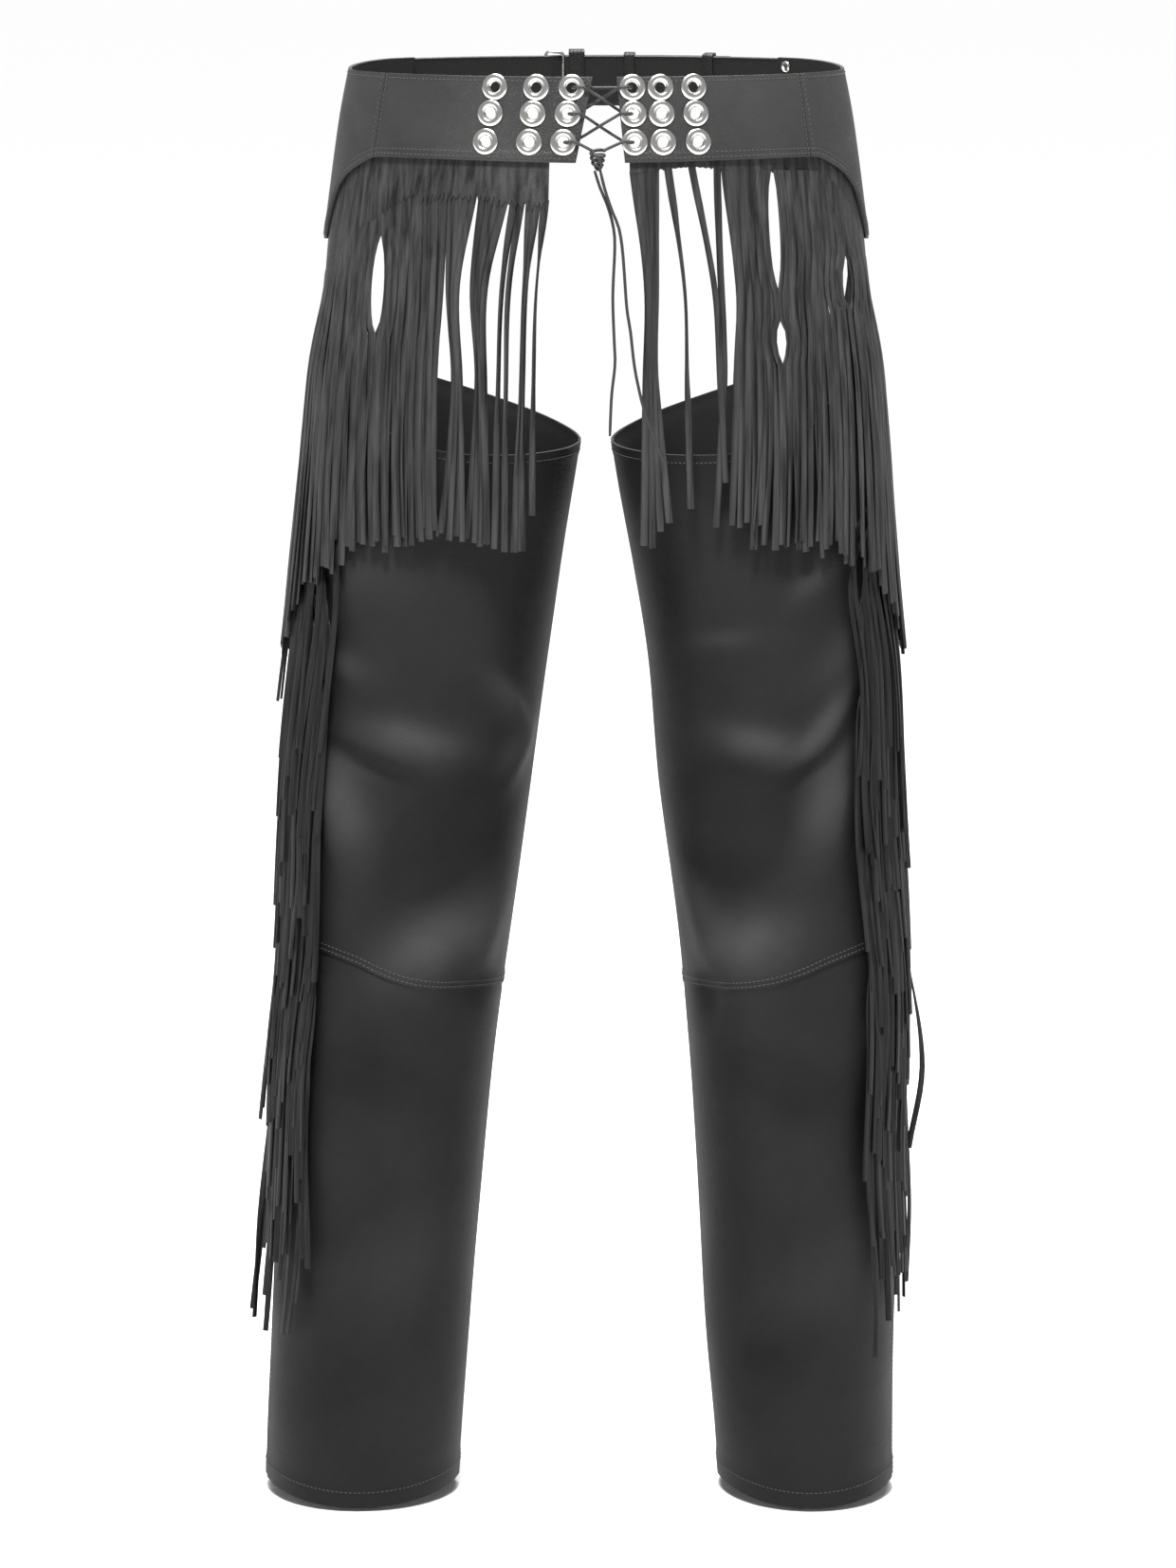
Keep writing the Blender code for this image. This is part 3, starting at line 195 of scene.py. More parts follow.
class LegRing(NamedTuple):
    """Centre and half sizes of both legs at a height."""

    z: float
    left_x: float
    left_half: float
    right_x: float
    right_half: float
    centre_y: float
    half_depth: float


LEG_RINGS = (
    LegRing(-0.030, 0.0935, 0.0965, 0.0935, 0.0965, 0.000, 0.0970),
    LegRing(-0.130, 0.1000, 0.1000, 0.1000, 0.1000, 0.000, 0.1000),
    LegRing(-0.240, 0.1100, 0.0980, 0.1095, 0.0975, 0.000, 0.1020),
    LegRing(-0.337, 0.1210, 0.0940, 0.1200, 0.0915, 0.000, 0.1000),
    LegRing(-0.407, 0.1285, 0.0920, 0.1278, 0.0885, -0.002, 0.0970),
    LegRing(-0.499, 0.1370, 0.0890, 0.1332, 0.0866, -0.004, 0.0920),
    LegRing(-0.621, 0.1488, 0.0820, 0.1433, 0.0803, -0.002, 0.0860),
    LegRing(-0.693, 0.1553, 0.0795, 0.1469, 0.0773, 0.003, 0.0850),
    LegRing(-0.765, 0.1596, 0.0765, 0.1486, 0.0747, 0.007, 0.0840),
    LegRing(-0.837, 0.1642, 0.0752, 0.1508, 0.0724, 0.007, 0.0810),
    LegRing(-0.910, 0.1689, 0.0745, 0.1525, 0.0697, 0.005, 0.0790),
    LegRing(-0.984, 0.1740, 0.0730, 0.1560, 0.0668, 0.003, 0.0780),
    LegRing(-1.030, 0.1765, 0.0718, 0.1580, 0.0650, 0.003, 0.0770),
)


class EdgePoint(NamedTuple):
    """Place on an edge, as an angle on its ring and a height."""

    angle: float
    z: float


YOKE_EDGE = SmoothCurve(
    (0.0, 56.0, 62.0, 67.0, 72.0, 77.0, 81.0, 85.0, 90.0, 96.0, 102.0, 108.0, 114.0, 120.0, 126.0, 131.0),
    (-0.0305, -0.0295, -0.0345, -0.0400, -0.0470, -0.0580, -0.0710, -0.0830, -0.0930, -0.0930, -0.0830,
     -0.0670, -0.0490, -0.0320, -0.0180, -0.0100),
)
KNEE_SEAM = SmoothCurve(
    (-90.0, -43.0, -12.0, 5.0, 20.0, 41.0, 82.0),
    (-0.645, -0.639, -0.632, -0.625, -0.617, -0.610, -0.601),
)


class Fold(NamedTuple):
    """Soft ridge or trough: its middle, its reach along the ring and the leg, slant and height."""

    angle: float
    z: float
    reach_angle: float
    reach_z: float
    slant: float
    height: float


MAIN_FOLDS = (
    Fold(188.0, -0.585, 34.0, 0.018, 0.0004, -0.0040),
    Fold(176.0, -0.630, 34.0, 0.018, -0.0004, 0.0040),
    Fold(192.0, -0.420, 26.0, 0.024, 0.0006, -0.0036),
)
FINE_FOLDS = {
    Side.LEFT: (
        Fold(0.0, -0.455, 24.0, 0.016, 0.0003, 0.0072),
        Fold(20.0, -0.468, 22.0, 0.009, 0.0005, -0.0050),
        Fold(32.0, -0.510, 15.0, 0.036, 0.0016, 0.0080),
        Fold(-24.0, -0.540, 26.0, 0.040, -0.0006, -0.0074),
        Fold(-18.0, -0.615, 24.0, 0.030, -0.0005, 0.0090),
        Fold(-50.0, -0.606, 16.0, 0.034, -0.0012, 0.0044),
        Fold(-48.0, -0.428, 14.0, 0.013, 0.0012, 0.0060),
        Fold(-58.0, -0.466, 14.0, 0.022, -0.0012, 0.0044),
        Fold(-46.0, -0.640, 13.0, 0.018, 0.0006, -0.0050),
        Fold(36.0, -0.400, 12.0, 0.012, 0.0004, 0.0036),
        Fold(34.0, -0.335, 14.0, 0.030, 0.0004, 0.0030),
        Fold(16.0, -0.335, 16.0, 0.040, 0.0008, 0.0014),
        Fold(10.0, -0.715, 40.0, 0.030, 0.0004, -0.0020),
        Fold(-20.0, -0.860, 36.0, 0.045, -0.0004, 0.0022),
        Fold(30.0, -0.930, 30.0, 0.040, 0.0006, -0.0018),
        Fold(156.0, -0.470, 22.0, 0.015, 0.0008, -0.0056),
        Fold(150.0, -0.560, 20.0, 0.013, 0.0010, -0.0044),
        Fold(206.0, -0.530, 22.0, 0.024, -0.0012, 0.0062),
        Fold(214.0, -0.610, 22.0, 0.014, -0.0010, -0.0046),
        Fold(182.0, -0.660, 30.0, 0.016, 0.0003, 0.0040),
        Fold(200.0, -0.330, 26.0, 0.017, 0.0010, -0.0036),
        Fold(160.0, -0.300, 20.0, 0.016, -0.0012, 0.0034),
        Fold(170.0, -0.760, 34.0, 0.030, 0.0006, -0.0028),
    ),
    Side.RIGHT: (
        Fold(-8.0, -0.459, 22.0, 0.016, -0.0002, 0.0070),
        Fold(24.0, -0.444, 13.0, 0.015, 0.0016, 0.0070),
        Fold(12.0, -0.474, 17.0, 0.009, 0.0010, -0.0048),
        Fold(24.0, -0.508, 14.0, 0.036, 0.0014, 0.0080),
        Fold(-28.0, -0.535, 26.0, 0.044, 0.0004, -0.0076),
        Fold(-24.0, -0.616, 27.0, 0.030, 0.0003, 0.0092),
        Fold(-52.0, -0.588, 13.0, 0.030, -0.0012, 0.0036),
        Fold(-48.0, -0.644, 12.0, 0.018, 0.0006, -0.0046),
        Fold(24.0, -0.336, 11.0, 0.013, 0.0010, 0.0048),
        Fold(-22.0, -0.380, 18.0, 0.009, 0.0002, 0.0030),
        Fold(34.0, -0.396, 13.0, 0.020, 0.0010, 0.0032),
        Fold(-6.0, -0.720, 40.0, 0.030, -0.0004, -0.0020),
        Fold(22.0, -0.870, 36.0, 0.045, 0.0004, 0.0022),
        Fold(-28.0, -0.950, 30.0, 0.040, 0.0006, -0.0018),
        Fold(208.0, -0.462, 22.0, 0.015, -0.0008, -0.0054),
        Fold(146.0, -0.590, 20.0, 0.013, -0.0010, -0.0044),
        Fold(160.0, -0.524, 22.0, 0.024, 0.0012, 0.0060),
        Fold(212.0, -0.570, 22.0, 0.014, 0.0010, -0.0040),
        Fold(178.0, -0.655, 30.0, 0.016, -0.0004, 0.0042),
        Fold(166.0, -0.336, 26.0, 0.017, -0.0010, -0.0036),
        Fold(204.0, -0.296, 20.0, 0.016, 0.0012, 0.0034),
        Fold(190.0, -0.752, 34.0, 0.030, -0.0006, -0.0026),
    ),
}


class HipForm:
    """Oval form of the hips, which flares going down."""

    def __init__(self) -> None:
        self.width = SmoothCurve.of(HIP_RINGS, "z", "half_width")
        self.depth = SmoothCurve.of(HIP_RINGS, "z", "half_depth")

    def normal(self, side: Side, angle: Values, z: Values) -> np.ndarray:
        """Outward directions of the form."""
        across, ahead = np.sin(np.radians(angle)), np.cos(np.radians(angle))
        width, depth = self.width(z), self.depth(z)
        flare = across**2 * (self.width(z + SLOPE_STEP) - self.width(z - SLOPE_STEP)) / width
        flare = flare + ahead**2 * (self.depth(z + SLOPE_STEP) - self.depth(z - SLOPE_STEP)) / depth
        return unit(stack(side.sign * across / width, -ahead / depth, -flare / (2 * SLOPE_STEP)))

    def point(self, side: Side, angle: Values, z: Values, lift: Values = 0.0) -> np.ndarray:
        """Places on the form.

        Args:
            side: half of the body.
            angle: degrees from the front towards the outer side.
            z: height.
            lift: distance outwards from the form.

        Returns:
            Points, one for each angle and height.
        """
        turn = np.radians(angle)
        base = stack(side.sign * self.width(z) * np.sin(turn), -self.depth(z) * np.cos(turn), z)
        lift = np.broadcast_to(np.asarray(lift, dtype=float), base.shape[:-1])
        return base + self.normal(side, angle, z) * lift[..., None]

    def angle_at(self, x: Values, z: Values) -> Values:
        """Front angle at which the form is x from the centre line."""
        return np.degrees(np.arcsin(np.minimum(x / self.width(z), 1.0)))

    def around(self, side: Side, points: np.ndarray) -> np.ndarray:
        """Ring angles of points near the form."""
        x = side.sign * points[..., 0] / self.width(points[..., 2])
        return np.degrees(np.arctan2(x, -points[..., 1] / self.depth(points[..., 2])))


class LegForm:
    """Oval form of one leg, with its folds, which runs up under the yoke at the hip."""

    full_fold: float = 0.0100

    def __init__(self, side: Side, hips: HipForm) -> None:
        self.side = side
        self.hips = hips
        self.folds = MAIN_FOLDS + FINE_FOLDS[side]
        self.centre_x = SmoothCurve.of(LEG_RINGS, "z", side.label + "_x")
        self.width = SmoothCurve.of(LEG_RINGS, "z", side.label + "_half")
        self.centre_y = SmoothCurve.of(LEG_RINGS, "z", "centre_y")
        self.depth = SmoothCurve.of(LEG_RINGS, "z", "half_depth")

    def normal(self, angle: Values, z: Values) -> np.ndarray:
        """Outward directions of the leg's plain form."""
        across, ahead = self.side.sign * np.sin(np.radians(angle)), -np.cos(np.radians(angle))
        width, depth = self.width(z), self.depth(z)
        above, below = z + SLOPE_STEP, z - SLOPE_STEP
        lean = across * self.side.sign * (self.centre_x(above) - self.centre_x(below)) / width
        lean = lean + ahead * (self.centre_y(above) - self.centre_y(below)) / depth
        lean = lean + across**2 * (self.width(above) - self.width(below)) / width
        lean = lean + ahead**2 * (self.depth(above) - self.depth(below)) / depth
        return unit(stack(across / width, ahead / depth, -lean / (2 * SLOPE_STEP)))

    def ring(self, angle: Values, z: Values, lift: Values = 0.0) -> np.ndarray:
        """Places on the leg's plain form, lift outwards."""
        turn = np.radians(angle)
        base = stack(
            self.side.sign * (self.centre_x(z) + self.width(z) * np.sin(turn)),
            self.centre_y(z) - self.depth(z) * np.cos(turn),
            z,
        )
        lift = np.broadcast_to(np.asarray(lift, dtype=float), base.shape[:-1])
        return base + self.normal(angle, z) * lift[..., None]

    def fold_height(self, angle: Values, z: Values) -> np.ndarray:
        """Height of all folds, with the slight unevenness of hanging leather."""
        total = 0.0
        for fold in self.folds:
            along = (angle - fold.angle) / fold.reach_angle
            across = (z - fold.z - fold.slant * (angle - fold.angle)) / fold.reach_z
            total = total + fold.height * np.exp(-(along**2 + across**2))
        turn = np.radians(angle)
        uneven = np.sin(2.0 * turn + 9.0 * z) * np.sin(21.0 * z + self.side.sign)
        uneven = uneven + 0.6 * np.sin(3.0 * turn - 17.0 * z + 1.3)
        return total + 0.0007 * uneven

    def rubbed(self, points: np.ndarray) -> np.ndarray:
        """Share of painted highlight on the folds, from 0 in the hollows, where shade is painted, to 1 on the ridges.

        Args:
            points: places on the leg.

        Returns:
            Share for each point.
        """
        z = points[:, 2]
        across = (self.side.sign * points[:, 0] - self.centre_x(z)) / self.width(z)
        ahead = (self.centre_y(z) - points[:, 1]) / self.depth(z)
        angle = (np.degrees(np.arctan2(across, ahead)) + 90.0) % 360.0 - 90.0
        share = 0.12
        # Folds of negative height lower the share: painted shade in the troughs.
        for fold in self.folds:
            along = (angle - fold.angle) / fold.reach_angle
            # The painted highlight sits a little above each crest, on the slope that faces the light from above.
            crest = fold.z + fold.slant * (angle - fold.angle) + 0.45 * fold.reach_z
            size = fold.height / self.full_fold
            share = share + size * np.exp(-(along**2 + ((z - crest) / (0.8 * fold.reach_z)) ** 2))
        return np.clip(share, 0.0, 1.0)

    def skin(self, angle: Values, z: Values, lift: Values = 0.0) -> np.ndarray:
        """Places on the outer face of a panel.

        Args:
            angle: leg angle in degrees.
            z: height.
            lift: extra distance outwards.

        Returns:
            Points on the leg, eased onto the hip form near the yoke.
        """
        lift = lift + 0.0 * np.asarray(angle * z)
        points = self.ring(angle, z, self.fold_height(angle, z) + lift)
        hip = ease(-0.20, -0.12, z)
        around = self.hips.around(self.side, points)
        under = self.hips.point(self.side, around, points[..., 2], PANEL_UNDER_FRINGE + lift)
        under[..., 2] = points[..., 2]
        return points * (1.0 - hip)[..., None] + under * hip[..., None]

    def clear(self, points: np.ndarray, lift: Values, at_hip: Values) -> np.ndarray:
        """Push hanging points out of the thigh and the hip.

        Args:
            points: places along a strand.
            lift: distance they keep from the skin.
            at_hip: 1 where the hip pushes too, 0 where the front is open.

        Returns:
            The moved points.
        """
        moved = points.copy()
        z = points[..., 2]
        hip = ease(-0.20, -0.12, z) * at_hip
        reach = lift + PANEL_UNDER_FRINGE * hip
        centre_x, centre_y = self.side.sign * self.centre_x(z), self.centre_y(z)
        x, y = moved[..., 0] - centre_x, moved[..., 1] - centre_y
        size = np.hypot(x / (self.width(z) + reach), y / (self.depth(z) + reach))
        grow = 1.0 / np.minimum(size, 1.0)
        moved[..., 0], moved[..., 1] = centre_x + x * grow, centre_y + y * grow
        reach = lift * hip + PANEL_UNDER_FRINGE
        size = np.hypot(moved[..., 0] / (self.hips.width(z) + reach), moved[..., 1] / (self.hips.depth(z) + reach))
        grow = 1.0 + (1.0 / np.minimum(size, 1.0) - 1.0) * (hip > 0.0)
        moved[..., 0], moved[..., 1] = moved[..., 0] * grow, moved[..., 1] * grow
        return moved


# Finishes


class Wire:
    """One output of a material's node, with arithmetic that adds Math nodes."""

    def __init__(self, board: "Board", socket: bpy.types.NodeSocket) -> None:
        self.board = board
        self.socket = socket

    def _math(self, operation: str, first: object, second: object) -> "Wire":
        """Wire of a Math node on two values."""
        return self.board.node("ShaderNodeMath", {"operation": operation}, {0: first, 1: second})

    def __add__(self, other: object) -> "Wire":
        """Sum."""
        return self._math("ADD", self, other)

    __radd__ = __add__

    def __sub__(self, other: object) -> "Wire":
        """Difference."""
        return self._math("SUBTRACT", self, other)

    def __rsub__(self, other: object) -> "Wire":
        """Difference, the other way."""
        return self._math("SUBTRACT", other, self)

    def __mul__(self, other: object) -> "Wire":
        """Product."""
        return self._math("MULTIPLY", self, other)

    __rmul__ = __mul__

    def __truediv__(self, other: object) -> "Wire":
        """Quotient."""
        return self._math("DIVIDE", self, other)

    def __pow__(self, other: object) -> "Wire":
        """Power."""
        return self._math("POWER", self, other)


class Board:
    """Node tree of one material, with its Principled shader."""

    def __init__(self, name: str) -> None:
        self.material = bpy.data.materials.new(name)
        self.material.use_nodes = True
        self.tree = self.material.node_tree
        self.shader = self.tree.nodes["Principled BSDF"]
        self._place: Wire | None = None

    def node(self, kind: str, settings: dict, sockets: dict, output: int | str = 0) -> Wire:
        """Add one node.

        Args:
            kind: node type.
            settings: properties, set first; "stops" are a ramp's positions and colours.
            sockets: values or wires by socket name or number.
            output: output to return.

        Returns:
            The wire of that output.
        """
        made = self.tree.nodes.new(kind)
        for key, value in settings.items():
            if key == "stops":
                for element, (position, color) in zip(made.color_ramp.elements, value):
                    element.position = position
                    element.color = (*color, 1.0)
            else:
                setattr(made, key, value)
        for key, value in sockets.items():
            self.join(value, made.inputs[key])
        return Wire(self, made.outputs[output])

    def join(self, value: object, socket: bpy.types.NodeSocket) -> None:
        """Link a wire to a socket, or set the socket's value."""
        if isinstance(value, Wire):
            self.tree.links.new(value.socket, socket)
        else:
            socket.default_value = value

    @property
    def place(self) -> Wire:
        """Place on the object, in metres."""
        if self._place is None:
            self._place = self.node("ShaderNodeTexCoord", {}, {}, "Object")
        return self._place

    def stretched(self, scale: tuple[float, float, float]) -> Wire:
        """Place with each direction scaled."""
        return self.node("ShaderNodeVectorMath", {"operation": "MULTIPLY"}, {0: self.place, 1: scale})

    def noise(self, scale: float, detail: float = 3.0, place: Wire | None = None) -> Wire:
        """Noise from 0 to 1."""
        sockets = {"Vector": place or self.place, "Scale": scale, "Detail": detail}
        return self.node("ShaderNodeTexNoise", {}, sockets, "Fac")

    def pebbles(self, scale: float) -> Wire:
        """Height of leather's pebbled grain, high in the middle of each cell."""
        settings = {"feature": "DISTANCE_TO_EDGE"}
        return self.node("ShaderNodeTexVoronoi", settings, {"Vector": self.place, "Scale": scale}, "Distance")

    def mix(self, share: Wire, low: "Wire | Sequence[float]", high: Sequence[float]) -> Wire:
        """Colour between two colours."""
        start = low if isinstance(low, Wire) else (*low, 1.0)
        return self.node("ShaderNodeMix", {"data_type": "RGBA"}, {0: share, 6: start, 7: (*high, 1.0)}, 2)

    def bump(self, height: Wire, distance: float, strength: float = 1.0) -> Wire:
        """Normal from a height."""
        return self.node("ShaderNodeBump", {}, {"Height": height, "Distance": distance, "Strength": strength})

    def shade(self, **values: object) -> bpy.types.Material:
        """Set or link the shader's sockets, with _ for a space, and give the material."""
        for key, value in values.items():
            self.join(value, self.shader.inputs[key.replace("_", " ")])
        return self.material


@dataclass(frozen=True)
class Leather:
    """Dyed and lightly waxed cowhide: pebbled grain, faint mottling and pull marks."""

    name: str
    dark: tuple[float, float, float]
    light: tuple[float, float, float]
    roughness: float = 0.46
    grain: float = 620.0
    grain_depth: float = 0.00016
    crease_depth: float = 0.0004
    streak: tuple[float, float, float] = (9.0, 9.0, 9.0)
    streak_share: float = 0.35
    gloss: float = 0.35
    # Lighter colour painted on the fold ridges as a highlight, or None.
    rubbed: tuple[float, float, float] | None = None

    def make(self) -> bpy.types.Material:
        """Build the material."""
        board = Board(self.name)
        mottle = board.noise(14.0, 4.0)
        streaks = board.noise(1.0, 3.0, board.stretched(self.streak))
        pores = board.pebbles(self.grain)
        creases = board.noise(46.0, 5.0)
        tone = mottle * (1.0 - self.streak_share) + streaks * self.streak_share
        contrast = board.node(
            "ShaderNodeMapRange",
            {"clamp": True},
            {"Value": tone, "From Min": 0.34, "From Max": 0.66, "To Min": 0.0, "To Max": 1.0},
        )
        color = board.mix(contrast, self.dark, self.light)
        # Painted highlight: the colour moves towards the lighter tone on the fold ridges, following the painted-sheen
        # attribute.
        if self.rubbed:
            sheen_share = board.node("ShaderNodeAttribute", {"attribute_name": SHEEN_ATTRIBUTE}, {}, "Fac")
            color = board.mix(sheen_share * (creases * 0.5 + 0.7), color, self.rubbed)
        rough = contrast * -0.07 + pores * 0.10 + (self.roughness + 0.02)
        height = pores * (0.5 * self.grain_depth * 6.0) + creases * self.crease_depth
        return board.shade(
            Base_Color=color, Roughness=rough, Normal=board.bump(height, 1.0, 0.9), Specular_IOR_Level=self.gloss
        )


@dataclass(frozen=True)
class FleshSide:
    """Inner side of the leather: brushed fibres, matte and darker."""

    name: str = "leather_flesh_side"
    dark: tuple[float, float, float] = (0.004, 0.004, 0.004)
    light: tuple[float, float, float] = (0.010, 0.0098, 0.0096)

    def make(self) -> bpy.types.Material:
        """Build the material."""
        board = Board(self.name)
        fibres = board.noise(1.0, 6.0, board.stretched((900.0, 900.0, 380.0)))
        nap = board.noise(30.0, 3.0)
        color = board.mix(fibres * 0.6 + nap * 0.4, self.dark, self.light)
        rough = fibres * 0.12 + 0.82
        return board.shade(Base_Color=color, Roughness=rough, Normal=board.bump(fibres, 0.0004, 0.8))


@dataclass(frozen=True)
class CutEdge:
    """Painted edge of cut leather, with faint layers."""

    name: str = "leather_cut_edge"
    dark: tuple[float, float, float] = (0.014, 0.014, 0.014)
    light: tuple[float, float, float] = (0.040, 0.039, 0.038)

    def make(self) -> bpy.types.Material:
        """Build the material."""
        board = Board(self.name)
        fibres = board.noise(700.0, 4.0)
        color = board.mix(fibres, self.dark, self.light)
        return board.shade(Base_Color=color, Roughness=fibres * 0.2 + 0.5, Normal=board.bump(fibres, 0.0002, 0.6))


@dataclass(frozen=True)
class Nickel:
    """Polished nickel plate with fine handling marks."""

    name: str = "polished_nickel"
    color: tuple[float, float, float] = (0.88, 0.87, 0.85)
    dull: tuple[float, float, float] = (0.70, 0.69, 0.67)

    def make(self) -> bpy.types.Material:
        """Build the material."""
        board = Board(self.name)
        marks = board.noise(1.0, 5.0, board.stretched((1900.0, 1900.0, 260.0)))
        haze = board.noise(160.0, 2.0)
        color = board.mix(haze * 0.5, self.color, self.dull)
        rough = marks * 0.10 + haze * 0.08 + 0.12
        return board.shade(Base_Color=color, Metallic=1.0, Roughness=rough, Normal=board.bump(marks, 0.00004, 0.5))


@dataclass(frozen=True)
class Thread:
    """Bonded sewing thread with its twist."""

    name: str = "waxed_thread"
    dark: tuple[float, float, float] = (0.030, 0.030, 0.031)
    light: tuple[float, float, float] = (0.085, 0.085, 0.088)

    def make(self) -> bpy.types.Material:
        """Build the material."""
        board = Board(self.name)
        twist = board.noise(2600.0, 2.0)
        color = board.mix(twist, self.dark, self.light)
        return board.shade(Base_Color=color, Roughness=twist * 0.2 + 0.42, Normal=board.bump(twist, 0.0001, 0.5))


@dataclass(frozen=True)
class LaceLeather:
    """Round leather lace, matte and slightly ribbed along its length."""

    name: str = "leather_lace"
    dark: tuple[float, float, float] = (0.010, 0.010, 0.010)
    light: tuple[float, float, float] = (0.030, 0.030, 0.030)

    def make(self) -> bpy.types.Material:
        """Build the material."""
        board = Board(self.name)
        ribs = board.noise(1.0, 4.0, board.stretched((1500.0, 1500.0, 300.0)))
        color = board.mix(ribs, self.dark, self.light)
        return board.shade(Base_Color=color, Roughness=ribs * 0.2 + 0.48, Normal=board.bump(ribs, 0.0002, 0.7))


@dataclass(frozen=True)
class Paper:
    """Pale seamless paper of the studio."""

    name: str = "pale_paper"
    dark: tuple[float, float, float] = (0.86, 0.86, 0.86)
    light: tuple[float, float, float] = (0.89, 0.89, 0.89)

    def make(self) -> bpy.types.Material:
        """Build the material."""
        board = Board(self.name)
        tooth = board.noise(40.0, 2.0)
        return board.shade(Base_Color=board.mix(tooth, self.dark, self.light), Roughness=tooth * 0.05 + 0.9)


class Wardrobe:
    """All finishes, each made once."""

    def __init__(self) -> None:
        # The panel's third colour is the painted highlight on its fold ridges.
        self.panel = Leather(
            "panel_leather", (0.006, 0.006, 0.0064), (0.011, 0.011, 0.0116), 0.56, gloss=0.12,
            rubbed=(0.044, 0.044, 0.0445),
        ).make()
        self.yoke = Leather(
            "yoke_leather", (0.018, 0.018, 0.018), (0.038, 0.038, 0.038), 0.44, crease_depth=0.0010, gloss=0.38
        ).make()
        self.belt = Leather("belt_leather", (0.008, 0.008, 0.008), (0.015, 0.015, 0.015), 0.40).make()
        streaks = (260.0, 260.0, 6.0)
        self.fringe = Leather(
            "fringe_leather", (0.003, 0.003, 0.0032), (0.043, 0.043, 0.0435), 0.46, 780.0, 0.00012, 0.0002,
            streaks, 0.85, 0.30,
        ).make()
        # Darker, less glossy copy of the fringe leather: painted shade for the strands on the leg's outer side.
        self.side_fringe = Leather(
            "side_fringe_leather", (0.0015, 0.0015, 0.0016), (0.015, 0.015, 0.0152), 0.50, 780.0, 0.00012, 0.0002,
            streaks, 0.85, 0.20,
        ).make()
        self.flesh = FleshSide().make()
        self.edge = CutEdge().make()
        self.nickel = Nickel().make()
        self.thread = Thread().make()
        self.lace = LaceLeather().make()


# Making meshes


